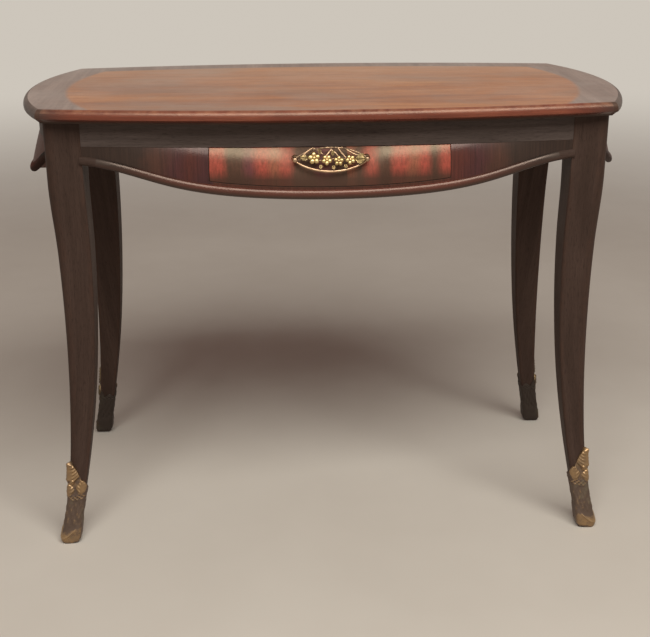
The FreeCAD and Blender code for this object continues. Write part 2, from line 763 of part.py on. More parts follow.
bottom_half = f"({side_inner} + sizes.groove_depth)"
bottom_start = (f"-{bottom_half}", f"{box_front} - sizes.groove_depth", bottom_low)
bottom_run = f"{drawer_back_end} - {box_front} + sizes.groove_depth"
bottom_size = (f"2 * {bottom_half}", bottom_run, "sizes.bottom_board")
keep("drawer_bottom", box("drawer_bottom", bottom_start, bottom_size))

back_start = (f"-{bottom_half}", f"{drawer_back_end} - 2 * sizes.drawer_board", bottom_high)
back_size = (f"2 * {bottom_half}", "sizes.drawer_board", f"{side_high} - {bottom_high}")
keep("drawer_back", box("drawer_back", back_start, back_size))

inner_boards = group("drawer_inner_boards", [nodes["drawer_bottom"], nodes["drawer_back"]])
for side, sign in (("left", -1), ("right", 1)):
    body = new_body(f"drawer_side_{side}_blank")
    lift = side_inner if sign > 0 else f"-{drawer_half}"
    sketch = new_sketch(body, f"drawer_side_{side}_outline", "YZ_Plane", lift)
    outline = [
        (box_front, side_low),
        (drawer_back_end, side_low),
        (drawer_back_end, side_high),
        (box_front, side_high),
    ]
    tail_end = f"({box_front} - sizes.tail_length)"
    for number in reversed(range(tail_count)):
        middle = f"({side_low} + ({side_high} - {side_low}) * {(number + 0.5) / tail_count})"
        neck = "sizes.tail_height / 2"
        tip = "(sizes.tail_height / 2 + sizes.tail_flare)"
        outline.append((box_front, f"{middle} + {neck}"))
        outline.append((tail_end, f"{middle} + {tip}"))
        outline.append((tail_end, f"{middle} - {tip}"))
        outline.append((box_front, f"{middle} - {neck}"))
    draw_outline(sketch, outline)
    extrude(body, "Pad", sketch, "sizes.drawer_board")
    keep(f"drawer_side_{side}", cut(f"drawer_side_{side}", body, inner_boards))

# Pull: two curved stems meet at two posts, with a spray between them, tilted with the drawer front
pull_height = f"({rail_under} - sizes.pull_drop)"
pull_tilt = f"asin(({pull_height} - {flank}) / sizes.apron_round)"
pull_swell = swell("sizes.front_bulge", pull_height)
pull_y = f"(-{front_face} - {pull_swell} - sizes.pull_standoff * cos({pull_tilt}))"
pull_z = f"({pull_height} + sizes.pull_standoff * sin({pull_tilt}))"
stems = new_body("pull_stems")
stems.Placement.Rotation = FreeCAD.Rotation(FreeCAD.Vector(1, 0, 0), -value(pull_tilt))
stems.setExpression("Placement.Rotation.Angle", f"-{pull_tilt}")
place(stems, "0", pull_y, pull_z)
stem_arc = arc_radius("sizes.pull_half", "sizes.pull_rise")
stem_reach = "sizes.post_radius"
for name, sign in (("upper", 1), ("lower", -1)):
    sketch = new_sketch(stems, f"stem_{name}", "YZ_Plane")
    draw_circle(sketch, "0", f"{sign} * sizes.pull_rise", "sizes.stem_radius")
    axis_z = f"{sign} * (sizes.pull_rise - {stem_arc})"
    draw_axis(sketch, (f"-{stem_reach}", axis_z), (stem_reach, axis_z))
    turn_profile(stems, "Revolution", sketch, f"2 * asin(sizes.pull_half / {stem_arc})")
spray = new_sketch(stems, "spray", "XZ_Plane")
spray_points = rectangle("-sizes.spray_half", "-sizes.spray_rise", "sizes.spray_half", "sizes.spray_rise")
draw_outline(spray, spray_points)
extrude(stems, "Pad", spray, "sizes.spray_thickness", symmetric=True)
posts = []
bolts = []
nut_blanks = []
post_front = f"({pull_y} - sizes.stem_radius)"
post_length = f"(-{front_face} - sizes.tail_length - {post_front})"
bolt_length = f"(-{front_face} + sizes.nut_height - {pull_y})"
for side, sign in (("left", -1), ("right", 1)):
    across = f"{sign} * sizes.pull_half"
    inward = (0, 1, 0)
    post_start = (across, post_front, pull_z)
    posts.append(cylinder(f"post_{side}", "sizes.post_radius", post_length, post_start, inward))
    bolt_start = (across, pull_y, pull_z)
    bolts.append(cylinder(f"bolt_{side}", "sizes.bolt_radius", bolt_length, bolt_start, inward))
    nut_start = (across, f"-{front_face}", pull_z)
    nut_blanks.append(cylinder(f"nut_{side}", "sizes.nut_radius", "sizes.nut_height", nut_start, inward))
keep("pull_bolts", group("pull_bolts", bolts))
keep("pull_nuts", cut("pull_nuts", group("pull_nut_blanks", nut_blanks), nodes["pull_bolts"]))

# Drawer front: its gate is cut out of the swelling blank, its back is flat
front_blank = bombe_blank("drawer_front_blank", inner_x, front_face, "sizes.front_bulge", 0)
gate = new_sketch(front_blank, "drawer_gate", "XZ_Plane")
draw_outline(gate, *drawer_gate(drawer_half, "0", "sizes.drawer_gap", f"{rail_under} - sizes.drawer_gap"))
gate_margin = "sizes.leg_width"
draw_outline(gate, rectangle(
    f"-{inner_x} - {gate_margin}", f"{bead_mid} - {gate_margin}",
    f"{inner_x} + {gate_margin}", f"{rail_under} + {gate_margin}"))
extrude(front_blank, "Pocket", gate, symmetric=True)
flat_back = new_sketch(front_blank, "drawer_front_back", "XY_Plane")
behind = f"{box_front} + 2 * sizes.apron_thickness"
draw_outline(flat_back, rectangle(f"-{inner_x}", box_front, inner_x, behind))
extrude(front_blank, "Pocket", flat_back, symmetric=True)
front_tools = group("drawer_front_cuts", [
    nodes["drawer_side_left"], nodes["drawer_side_right"], nodes["drawer_bottom"], nodes["pull_bolts"]])
keep("drawer_front", cut("drawer_front", front_blank, front_tools))
pull_blank = fuse("pull_blank", [stems, *posts])
seated_pull = cut("pull_seated", pull_blank, front_blank)
keep("drawer_pull", cut("drawer_pull", seated_pull, nodes["pull_bolts"]))

doc.recompute()

faults = [piece.Name for piece in doc.Objects if {"Invalid", "Error"} & set(piece.State)]
for label, piece in nodes.items():
    if piece.Shape.isNull() or not piece.Shape.isValid() or not piece.Shape.Solids:
        faults.append(label)
if faults:
    raise RuntimeError("pieces that failed: " + ", ".join(faults))

os.makedirs("parts", exist_ok=True)
for label, piece in nodes.items():
    piece.Shape.exportStep(f"parts/{label}.step")
    box_size = piece.Shape.optimalBoundingBox(False)
    print(f"{label}: {len(piece.Shape.Solids)} solid(s), {piece.Shape.Volume / 1000:.1f} cm3, "
          f"x {box_size.XMin:.1f}..{box_size.XMax:.1f}, y {box_size.YMin:.1f}..{box_size.YMax:.1f}, "
          f"z {box_size.ZMin:.1f}..{box_size.ZMax:.1f}")
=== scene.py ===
import math
import bpy
import numpy as np
from mathutils import Matrix, Vector


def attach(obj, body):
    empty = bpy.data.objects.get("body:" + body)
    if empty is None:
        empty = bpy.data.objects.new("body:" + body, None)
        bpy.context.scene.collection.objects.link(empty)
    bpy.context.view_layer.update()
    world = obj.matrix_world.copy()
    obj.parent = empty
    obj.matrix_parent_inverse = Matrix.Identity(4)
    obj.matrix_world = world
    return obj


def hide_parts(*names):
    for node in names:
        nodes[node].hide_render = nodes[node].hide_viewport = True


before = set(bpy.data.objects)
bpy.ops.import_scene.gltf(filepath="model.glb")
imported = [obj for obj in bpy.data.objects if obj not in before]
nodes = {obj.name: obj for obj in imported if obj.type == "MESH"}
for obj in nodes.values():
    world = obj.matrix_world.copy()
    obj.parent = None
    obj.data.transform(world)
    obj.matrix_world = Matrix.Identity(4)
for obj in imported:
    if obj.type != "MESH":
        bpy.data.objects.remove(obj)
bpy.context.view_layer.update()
print("frame loaded with", len(nodes), "nodes")

# sizes that several pieces share, in metres, as in the solid model
carcase = {
    "height": 0.760, "topLength": 1.010, "topDepth": 0.540, "endBow": 0.052, "frontBow": 0.040,
    "topThickness": 0.022, "legInsetEnd": 0.004, "legInsetFront": 0.020, "legWidth": 0.056, "reveal": 0.001,
    "railHeight": 0.040, "panelThickness": 0.026, "flankDrop": 0.058, "swellRadius": 0.100,
    "frontSwell": 0.044, "sideSwell": 0.057, "beadEndDrop": 0.024, "beadMidDrop": 0.074,
}


def bowRadius(half, rise):
    return (half * half + rise * rise) / (2 * rise)


halfLength, halfDepth = carcase["topLength"] / 2, carcase["topDepth"] / 2
cornerX, cornerY = halfLength - carcase["endBow"], halfDepth - carcase["frontBow"]
frontRadius, endRadius = bowRadius(cornerX, carcase["frontBow"]), bowRadius(cornerY, carcase["endBow"])
legX, legY = cornerX - carcase["legInsetEnd"], cornerY - carcase["legInsetFront"]
innerX, innerY = legX - carcase["legWidth"], legY - carcase["legWidth"]
topUnder = carcase["height"] - carcase["topThickness"]
railUnder = topUnder - carcase["railHeight"]
flank = railUnder - carcase["flankDrop"]
beadEnd = railUnder - carcase["beadEndDrop"]
beadMid = railUnder - carcase["beadMidDrop"]
longSide = {"half": innerX, "face": legY - carcase["reveal"], "swell": carcase["frontSwell"],
            "straight": 0.0, "lift": 0.0, "radius": frontRadius, "span": halfDepth}
endSide = {"half": innerY, "face": legX - carcase["reveal"], "swell": carcase["sideSwell"],
           "straight": 0.9, "lift": 0.004, "radius": endRadius, "span": halfLength}
sides = {name: {**(endSide if turn % 2 else longSide), "turn": turn}
         for turn, name in enumerate(("front", "right", "back", "left"))}
corners = {"front_right": (1, 1), "front_left": (-1, 1), "back_right": (1, -1), "back_left": (-1, -1)}


def smoothStep(low, high, amount):
    share = np.clip((amount - low) / (high - low), 0, 1)
    return share * share * (3 - 2 * share)


def bump(distance, width):
    return np.exp(-(distance / width) ** 2)


def bowRise(along, half, rise):
    radius = bowRadius(half, rise)
    return np.sqrt(np.maximum(radius * radius - along * along, 0)) - (radius - rise)


def swellAt(height, swell, straight=0.0):
    # a quarter round above the flank, or partly the straight line under it
    radius, drop = carcase["swellRadius"], carcase["flankDrop"]
    climb = np.maximum(height - flank, 0)
    fall = radius - np.sqrt(radius ** 2 - climb ** 2)
    most = radius - math.sqrt(radius ** 2 - drop ** 2)
    return swell - fall - straight * (most * climb / drop - fall)


def toWorld(turn, along, out, height):
    along, out, height = np.broadcast_arrays(along, out, height)
    flat = [(along, -out), (out, along), (-along, out), (-out, -along)][turn]
    return np.stack([*flat, height], axis=-1)


# node helpers

def feed(tree, node, inputs):
    # links a socket, or sets a plain number or colour
    for key, entry in inputs.items():
        socket = node.inputs[key]
        if isinstance(entry, bpy.types.NodeSocket):
            tree.links.new(entry, socket)
        else:
            socket.default_value = (*entry, 1) if socket.type == "RGBA" else entry


def addNode(tree, kind, inputs=None, **settings):
    made = tree.nodes.new(kind)
    for name, setting in settings.items():
        setattr(made, name, setting)
    feed(tree, made, inputs or {})
    return made


def mixColour(tree, factor, first, second, blend="MIX"):
    return addNode(tree, "ShaderNodeMix", {0: factor, 6: first, 7: second},
                   data_type="RGBA", blend_type=blend).outputs[2]


def remap(tree, entry, low, high, toLow=0.0, toHigh=1.0, kind="LINEAR"):
    return addNode(tree, "ShaderNodeMapRange", {0: entry, 1: low, 2: high, 3: toLow, 4: toHigh},
                   interpolation_type=kind).outputs[0]


def calc(tree, operation, first, second=0.0):
    return addNode(tree, "ShaderNodeMath", {0: first, 1: second}, operation=operation).outputs[0]


def times(tree, first, second):
    return calc(tree, "MULTIPLY", first, second)


def vectorCalc(tree, operation, first, second=(0, 0, 0)):
    made = addNode(tree, "ShaderNodeVectorMath", {0: first, 1: second}, operation=operation)
    return made.outputs["Value" if operation in ("LENGTH", "DISTANCE") else "Vector"]


def objectPlace(tree):
    return addNode(tree, "ShaderNodeTexCoord").outputs["Object"]


def axisOf(tree, vector, axis):
    return addNode(tree, "ShaderNodeSeparateXYZ", {0: vector}).outputs[axis]


def markOf(tree, name):
    return addNode(tree, "ShaderNodeAttribute", attribute_name=name).outputs["Fac"]


def noise(tree, vector, scale, detail=4.0, roughness=0.55, distortion=0.0):
    return addNode(tree, "ShaderNodeTexNoise", {
        "Vector": vector, "Scale": scale, "Detail": detail, "Roughness": roughness,
        "Distortion": distortion}).outputs["Fac"]


def ramp(tree, factor, stops):
    made = addNode(tree, "ShaderNodeValToRGB", {"Fac": factor})
    elements = made.color_ramp.elements
    while len(elements) < len(stops):
        elements.new(0.5)
    for element, (position, colour) in zip(elements, stops):
        element.position = position
        element.color = (*colour, 1)
    return made.outputs["Color"]


def newTree(name, kind, inputs, outputs):
    tree = bpy.data.node_groups.new(name, kind)
    for way, sockets in (("INPUT", inputs), ("OUTPUT", outputs)):
        for label, socket in sockets.items():
            tree.interface.new_socket(label, in_out=way, socket_type="NodeSocket" + socket)
    return tree, tree.nodes.new("NodeGroupInput").outputs, tree.nodes.new("NodeGroupOutput").inputs


def placeGroup(tree, group, inputs):
    return addNode(tree, "ShaderNodeGroup", inputs, node_tree=group).outputs


# grain runs along the first axis of the vector that comes in
grainGroup, taken, given = newTree(
    "woodGrain", "ShaderNodeTree",
    {"Vector": "Vector", "Figure": "Float", "Pores": "Float", "Wander": "Float"},
    {"Figure": "Float", "Streak": "Float", "Pores": "Float"})
drift = noise(grainGroup, vectorCalc(grainGroup, "MULTIPLY", taken["Vector"], (2.5, 6.0, 6.0)), 1.0, 2.0)
drift = times(grainGroup, drift, taken["Wander"])
shift = addNode(grainGroup, "ShaderNodeCombineXYZ", {1: drift, 2: drift}).outputs[0]
bent = vectorCalc(grainGroup, "ADD", taken["Vector"], shift)
for label, lengthwise, scale, texture, reach in (
        ("Figure", 0.10, taken["Figure"], (5.0, 0.62, 0.4), (0.25, 0.75)),
        ("Streak", 0.025, times(grainGroup, taken["Figure"], 6.0), (3.0, 0.6), (0.3, 0.7)),
        ("Pores", 0.05, taken["Pores"], (2.0, 0.5), (0.56, 0.72))):
    laid = vectorCalc(grainGroup, "MULTIPLY", bent, (lengthwise, 1.0, 1.0))
    marks = noise(grainGroup, laid, scale, *texture)
    grainGroup.links.new(remap(grainGroup, marks, *reach), given[label])

# uneven polish: soft clouds of sheen and fine rubbing marks
polishGroup, taken, given = newTree(
    "oldPolish", "ShaderNodeTree",
    {"Vector": "Vector", "Low": "Float", "High": "Float"}, {"Roughness": "Float"})
cloud = noise(polishGroup, taken["Vector"], 7.0, 5.0, 0.6)
drawn = vectorCalc(polishGroup, "MULTIPLY", taken["Vector"], (30.0, 260.0, 260.0))
rubbed = noise(polishGroup, drawn, 1.0, 2.0)
uneven = calc(polishGroup, "ADD", times(polishGroup, cloud, 0.7), times(polishGroup, rubbed, 0.3))
polishGroup.links.new(remap(polishGroup, uneven, 0.3, 0.7, taken["Low"], taken["High"]), given["Roughness"])

# broken wear along marked edges; on the top's moulding it is also a painted highlight on the nose
wearAndHighlightGroup, taken, given = newTree(
    "edgeWearAndHighlight", "ShaderNodeTree", {"Edge": "Float", "Vector": "Vector", "Amount": "Float"}, {"Mask": "Float"})
chips = remap(wearAndHighlightGroup, noise(wearAndHighlightGroup, taken["Vector"], 55.0, 5.0, 0.7), 0.38, 0.66)
broken = times(wearAndHighlightGroup, taken["Edge"], chips)
wearAndHighlightGroup.links.new(times(wearAndHighlightGroup, broken, taken["Amount"]), given["Mask"])

# how strongly every wood shows its pores and streaks
woodDetail = {"poreColour": 0.6, "streakHeight": 0.4, "bumpDistance": 0.0002}


def newMaterial(name):
    material = bpy.data.materials.new(name)
    material.use_nodes = True
    return material, material.node_tree, material.node_tree.nodes["Principled BSDF"]


def sourceVector(tree, look):
    if look["coords"] == "UV":
        return addNode(tree, "ShaderNodeUVMap", uv_map="grain").outputs[0]
    return objectPlace(tree)


def grainVector(tree, look):
    return addNode(tree, "ShaderNodeMapping", {
        "Vector": sourceVector(tree, look), "Rotation": look.get("turn", (0, 0, 0)),
        "Location": look.get("shift", (0, 0, 0))}).outputs[0]


def grainOf(tree, look, vector):
    return placeGroup(tree, grainGroup, {
        "Vector": vector, "Figure": look["figure"], "Pores": look["pores"], "Wander": look["wander"]})


def addPores(tree, look, colour, grain):
    return mixColour(tree, times(tree, grain["Pores"], woodDetail["poreColour"]), colour, look["pore"])


def finishWood(tree, shader, look, colour, vector, grain):
    low, high = look["roughness"]
    roughness = placeGroup(tree, polishGroup, {"Vector": vector, "Low": low, "High": high})["Roughness"]
    # wear on marked edges; its paler colour on the moulding's upper nose is also a painted highlight
    if "wearAndHighlight" in look:
        amount, worn = look["wearAndHighlight"]
        mask = placeGroup(tree, wearAndHighlightGroup, {"Edge": markOf(tree, "edge"), "Vector": vector, "Amount": amount})
        colour = mixColour(tree, mask["Mask"], colour, worn)
    if "dulling" in look:
        # the polish is dull on one part of the length
        dullAt, clearAt, dull = look["dulling"]
        aside = calc(tree, "ABSOLUTE", axisOf(tree, sourceVector(tree, look), 0))
        roughness = calc(tree, "ADD", roughness, remap(tree, aside, dullAt, clearAt, dull, 0.0))
    height = calc(tree, "SUBTRACT", times(tree, grain["Streak"], woodDetail["streakHeight"]), grain["Pores"])
    lifted = addNode(tree, "ShaderNodeBump", {
        "Height": height, "Strength": look["bumpStrength"], "Distance": woodDetail["bumpDistance"]})
    feed(tree, shader, {
        "Base Color": colour, "Roughness": roughness, "Normal": lifted.outputs[0],
        "Specular IOR Level": look["specular"], "Specular Tint": look.get("tint", (1, 1, 1))})


def woodColour(tree, look, vector):
    grain = grainOf(tree, look, vector)
    colour = ramp(tree, grain["Figure"], list(zip((0.0, 0.5, 1.0), look["tones"])))
    colour = mixColour(tree, times(tree, grain["Streak"], look["streaks"]), colour, look["tones"][0])
    colour = addPores(tree, look, colour, grain)
    # pale cloudy patches: on the top's field a painted sheen, on the inner wood only patchy tone
    if "patchesAndSheen" in look:
        amount, patchesAndSheen = look["patchesAndSheen"]
        drifted = noise(tree, vectorCalc(tree, "MULTIPLY", vector, (1.0, 1.7, 1.0)), 2.7, 5.0, 0.6, 0.6)
        colour = mixColour(tree, remap(tree, drifted, 0.46, 0.66, 0.0, amount, "SMOOTHSTEP"), colour, patchesAndSheen)
    # painted shade: darker across a band of the second grain axis, under the moulding's nose and at the bead's
    # ends
    if "shaded" in look:
        low, high, shade = look["shaded"]
        colour = mixColour(tree, remap(tree, axisOf(tree, vector, 1), low, high), colour, shade)
    # painted shade on the underside of a piece
    if "under" in look:
        colour = mixColour(tree, markOf(tree, "under"), colour, look["under"])
    # painted shade: darker towards the ends of the piece along x
    if "ends" in look:
        start, full, shade = look["ends"]
        away = calc(tree, "ABSOLUTE", axisOf(tree, objectPlace(tree), 0))
        colour = mixColour(tree, remap(tree, away, start, full), colour, shade)
    return colour, grain


def woodMaterial(name, look):
    material, tree, shader = newMaterial(name)
    vector = grainVector(tree, look)
    colour, grain = woodColour(tree, look, vector)
    finishWood(tree, shader, look, colour, vector, grain)
    return material


# tones go from dark to light; wear (on the moulding's nose also a painted highlight) and the pale patches (on
# the top's field a painted sheen) give an amount and a colour
fieldLook = {
    "coords": "Object", "figure": 26.0, "pores": 1500.0, "wander": 0.045, "streaks": 0.55,
    "tones": ((0.200, 0.058, 0.015), (0.420, 0.148, 0.041), (0.560, 0.238, 0.076)),
    # the field's pale patches are painted sheen
    "pore": (0.090, 0.032, 0.014), "patchesAndSheen": (0.65, (0.235, 0.140, 0.102)), "bumpStrength": 0.25,
    "roughness": (0.28, 0.46), "specular": 0.50, "tint": (1.0, 0.95, 0.90),
}
borderLook = {
    "coords": "Object", "turn": (0, 0, math.pi / 2), "figure": 34.0, "pores": 1500.0, "wander": 0.02,
    "tones": ((0.140, 0.088, 0.072), (0.270, 0.182, 0.154), (0.365, 0.265, 0.228)), "streaks": 0.5,
    "pore": (0.090, 0.055, 0.045),
}
edgeLook = {
    "coords": "UV", "figure": 60.0, "pores": 1800.0, "wander": 0.01, "streaks": 0.5,
    "tones": ((0.080, 0.016, 0.010), (0.190, 0.045, 0.025), (0.280, 0.080, 0.042)),
    "pore": (0.050, 0.012, 0.008), "wearAndHighlight": (0.4, (0.420, 0.190, 0.105)), "bumpStrength": 0.25,
    "roughness": (0.22, 0.36), "specular": 0.6, "tint": (1.0, 0.84, 0.70),
    # painted shade on the lower part of the nose
    "shaded": (0.0450, 0.0505, (0.060, 0.017, 0.012)),
}
beadLook = {
    **edgeLook, "tones": ((0.042, 0.011, 0.007), (0.104, 0.026, 0.016), (0.160, 0.044, 0.025)),
    "roughness": (0.22, 0.32), "specular": 0.72, "tint": (1.0, 0.80, 0.70), "dulling": (0.372, 0.335, 0.40),
    # painted shade at the ends beside the legs and underneath
    "shaded": (0.640, 0.671, (0.016, 0.010, 0.008)), "under": (0.026, 0.010, 0.007),
}
darkLook = {
    "coords": "UV", "figure": 45.0, "pores": 1600.0, "wander": 0.015, "streaks": 0.5,
    "tones": ((0.044, 0.028, 0.022), (0.066, 0.042, 0.034), (0.088, 0.057, 0.046)),
    "pore": (0.010, 0.006, 0.005), "wearAndHighlight": (0.4, (0.085, 0.045, 0.032)), "bumpStrength": 0.3,
    "roughness": (0.46, 0.62), "specular": 0.08,
}
innerLook = {
    "coords": "Object", "figure": 40.0, "pores": 1100.0, "wander": 0.02, "streaks": 0.5,
    "tones": ((0.200, 0.115, 0.055), (0.340, 0.210, 0.110), (0.430, 0.285, 0.160)),
    "pore": (0.130, 0.075, 0.038), "patchesAndSheen": (0.5, (0.210, 0.140, 0.085)), "bumpStrength": 0.5,
    "roughness": (0.55, 0.75), "specular": 0.4,
}
# the front moulding gets painted shade towards its corners
edgeWood = woodMaterial("edgeWood", {**edgeLook, "ends": (0.398, 0.446, (0.050, 0.023, 0.020))})
# painted shade: a darker copy of the edge wood, for the end mouldings and the corners
endEdge = woodMaterial("endEdge", {
    **edgeLook, "tones": ((0.042, 0.024, 0.018), (0.080, 0.048, 0.037), (0.120, 0.074, 0.058)),
    "roughness": (0.34, 0.50), "specular": 0.2, "wearAndHighlight": (0.4, (0.150, 0.095, 0.075))})
beadWood = woodMaterial("beadWood", beadLook)
dullBeadWood = woodMaterial("dullBeadWood", {**beadLook, "roughness": (0.42, 0.58), "specular": 0.2})
darkWood = woodMaterial("darkWood", darkLook)
# painted light: a lighter copy of the dark wood, for the rails in the shadow of the top
litRailWood = woodMaterial("litRailWood", {
    **darkLook, "tones": ((0.066, 0.051, 0.046), (0.106, 0.083, 0.075), (0.142, 0.113, 0.104))})
innerWood = woodMaterial("innerWood", innerLook)
innerWoodDeep = woodMaterial("innerWoodDeep", {
    **innerLook, "turn": (0, 0, math.pi / 2), "shift": (0.3, 0.7, 0.1)})

# veneer of the top: a field with a greyer band along its ends and its back, and a painted sheen that lightens
# the field towards the back
band = {"endWidth": 0.070, "backWidth": 0.058, "soft": 0.0040,
        "backSheen": (-0.02, 0.22), "backSheenAmount": 0.42, "backSheenColour": (0.640, 0.370, 0.215)}
topVeneer, tree, shader = newMaterial("topVeneer")
fieldPlace = grainVector(tree, fieldLook)
fieldColour, fieldGrain = woodColour(tree, fieldLook, fieldPlace)
bandColour = woodColour(tree, borderLook, grainVector(tree, borderLook))[0]
across, deep = (axisOf(tree, objectPlace(tree), axis) for axis in (0, 1))
flatPlace = addNode(tree, "ShaderNodeCombineXYZ", {0: calc(tree, "ABSOLUTE", across), 1: deep}).outputs[0]
fromEnd = vectorCalc(tree, "DISTANCE", flatPlace, (halfLength - endRadius, 0, 0))
fromBack = vectorCalc(tree, "DISTANCE", flatPlace, (0, halfDepth - frontRadius, 0))
nearest = calc(tree, "MINIMUM", calc(tree, "SUBTRACT", endRadius - band["endWidth"], fromEnd),
               calc(tree, "SUBTRACT", frontRadius - band["backWidth"], fromBack))
inField = remap(tree, nearest, -band["soft"], band["soft"])
# painted sheen: the field goes lighter and paler towards the back
backSheen = remap(tree, deep, *band["backSheen"], 0.0, band["backSheenAmount"])
fieldColour = mixColour(tree, backSheen, fieldColour, band["backSheenColour"])
finishWood(tree, shader, fieldLook, mixColour(tree, inField, bandColour, fieldColour), fieldPlace, fieldGrain)

# upright strips of red, brown and purple veneer, each from its share of the span; the foot is darker, as
# painted shade
stripeLook = {
    "coords": "Object", "turn": (0, -math.pi / 2, 0), "figure": 50.0, "pores": 1500.0, "wander": 0.006,
    "roughness": (0.20, 0.30), "specular": 0.72, "tint": (1.0, 0.85, 0.62), "bumpStrength": 0.2,
    "dulling": (0.050, 0.085, 0.34), "span": 0.190, "blend": 0.016, "wobble": 0.008,
    "streakShade": (0.62, 1.25), "foot": (0.666, 0.650, 0.9), "footShadeColour": (0.036, 0.011, 0.009),
    "red": (0.335, 0.058, 0.042), "rust": (0.275, 0.082, 0.048), "brown": (0.066, 0.025, 0.018),
    "purple": (0.125, 0.028, 0.038), "pore": (0.030, 0.008, 0.006),
    "strips": [(0.00, "red"), (0.065, "brown"), (0.145, "purple"), (0.185, "red"), (0.245, "rust"),
               (0.290, "red"), (0.345, "brown"), (0.440, "purple"), (0.500, "brown"), (0.565, "rust"),
               (0.600, "brown"), (0.640, "red"), (0.690, "brown"), (0.755, "red"), (0.820, "rust"),
               (0.865, "red"), (0.915, "brown"), (0.955, "red")],
}
panelLook = {
    **stripeLook, "coords": "UV", "turn": (0, 0, math.pi / 2), "span": 0.400, "roughness": (0.13, 0.21),
    "specular": 0.42, "tint": (1.0, 0.86, 0.82), "dulling": (0.275, 0.215, 0.22),
    "foot": (0.650, 0.630, 0.4), "footShadeColour": (0.024, 0.011, 0.008),
    "red": (0.088, 0.023, 0.017), "rust": (0.064, 0.026, 0.017), "brown": (0.030, 0.017, 0.012),
    "purple": (0.060, 0.019, 0.020), "lip": (0.095, 0.030, 0.018), "pore": (0.010, 0.005, 0.004),
    "strips": [(0.0, "brown"), (0.14, "rust"), (0.18, "purple"), (0.21, "red"), (0.235, "purple"),
               (0.27, "lip"), (0.73, "red"), (0.77, "purple"), (0.81, "rust"), (0.85, "brown")],
}


def stripedMaterial(name, look):
    material, tree, shader = newMaterial(name)
    place, vector = sourceVector(tree, look), grainVector(tree, look)
    grain = grainOf(tree, look, vector)
    wobble = remap(tree, noise(tree, place, 24.0, 3.0), 0.3, 0.7, -look["wobble"], look["wobble"])
    share = calc(tree, "ADD", remap(tree, axisOf(tree, place, 0), -look["span"], look["span"]), wobble)
    starts, blend, stops = [start for start, tone in look["strips"]], look["blend"], []
    for (start, tone), end in zip(look["strips"], starts[1:] + [1.0 + blend]):
        stops += [(min(start + blend, 1), look[tone]), (max(min(end - blend, 1), start + blend), look[tone])]
    # one ramp holds too few stops
    half = len(starts) // 2
    past = calc(tree, "GREATER_THAN", share, starts[half])
    colour = mixColour(tree, past, ramp(tree, share, stops[:2 * half]), ramp(tree, share, stops[2 * half:]))
    shade = remap(tree, grain["Streak"], 0.0, 1.0, *look["streakShade"])
    colour = addPores(tree, look, mixColour(tree, 1.0, colour, shade, "MULTIPLY"), grain)
    # painted shade: darker towards the bottom
    start, end, amount = look["foot"]
    low = remap(tree, axisOf(tree, objectPlace(tree), 2), start, end, 0.0, amount)
    colour = mixColour(tree, low, colour, look["footShadeColour"])
    finishWood(tree, shader, look, colour, vector, grain)
    return material


stripedVeneer = stripedMaterial("stripedVeneer", stripeLook)
panelVeneer = stripedMaterial("panelVeneer", panelLook)
flankVeneer = stripedMaterial("flankVeneer", {**panelLook, "roughness": (0.42, 0.60), "specular": 0.2})

bronzeLook = {
    "gold": (0.390, 0.258, 0.142), "worn": (0.280, 0.192, 0.122), "patina": (0.125, 0.086, 0.066),
    "tarnish": (0.220, 0.200, 0.130), "roughness": (0.42, 0.62), "metallic": (0.55, 1.0), "grime": 0.22,
    "greening": 0.5, "bump": (0.35, 0.0006),
}
pullLook = {
    **bronzeLook, "gold": (0.640, 0.490, 0.240), "worn": (0.480, 0.330, 0.150),
    "patina": (0.095, 0.060, 0.038), "tarnish": (0.330, 0.270, 0.130), "roughness": (0.34, 0.55),
}


def bronzeMaterial(name, look):
    material, tree, shader = newMaterial(name)
    place = objectPlace(tree)
    grime, patches = noise(tree, place, 120.0, 5.0, 0.65), noise(tree, place, 38.0, 4.0, 0.6)
    dirt = remap(tree, grime, 0.3, 0.7, -look["grime"], look["grime"])
    gilded = remap(tree, calc(tree, "ADD", markOf(tree, "relief"), dirt), 0.25, 0.62, kind="SMOOTHSTEP")
    gold = mixColour(tree, remap(tree, patches, 0.4, 0.65), look["gold"], look["worn"])
    colour = mixColour(tree, gilded, look["patina"], gold)
    green = times(tree, remap(tree, patches, 0.58, 0.72), look["greening"])
    strength, distance = look["bump"]
    lifted = addNode(tree, "ShaderNodeBump", {"Height": grime, "Strength": strength, "Distance": distance})
    feed(tree, shader, {
        "Base Color": mixColour(tree, green, colour, look["tarnish"]), "Normal": lifted.outputs[0],
        "Roughness": remap(tree, gilded, 0.0, 1.0, *reversed(look["roughness"])),
        "Metallic": remap(tree, gilded, 0.0, 1.0, *look["metallic"])})
    return material


giltBronze = bronzeMaterial("giltBronze", bronzeLook)
# painted shade: the back shoes get a darker copy of the gilt bronze
dullBronze = bronzeMaterial("dullBronze", {
    **bronzeLook, "gold": (0.165, 0.118, 0.068), "worn": (0.105, 0.074, 0.050),
    "patina": (0.052, 0.038, 0.031), "tarnish": (0.085, 0.074, 0.052)})
pullGilt = bronzeMaterial("pullGilt", pullLook)
stemGilt = bronzeMaterial("stemGilt", {
    **pullLook, "gold": (0.560, 0.390, 0.250), "worn": (0.360, 0.215, 0.130), "tarnish": (0.300, 0.190, 0.110)})

steelLook = {"bright": (0.30, 0.29, 0.27), "stained": (0.13, 0.09, 0.06), "roughness": (0.35, 0.6),
             "metallic": 0.9}
steel, tree, shader = newMaterial("dullSteel")
stain = noise(tree, objectPlace(tree), 90.0, 4.0)
feed(tree, shader, {
    "Base Color": ramp(tree, stain, [(0.35, steelLook["bright"]), (0.7, steelLook["stained"])]),
    "Roughness": remap(tree, stain, 0.3, 0.7, *steelLook["roughness"]), "Metallic": steelLook["metallic"]})
print("materials made")


# mesh helpers

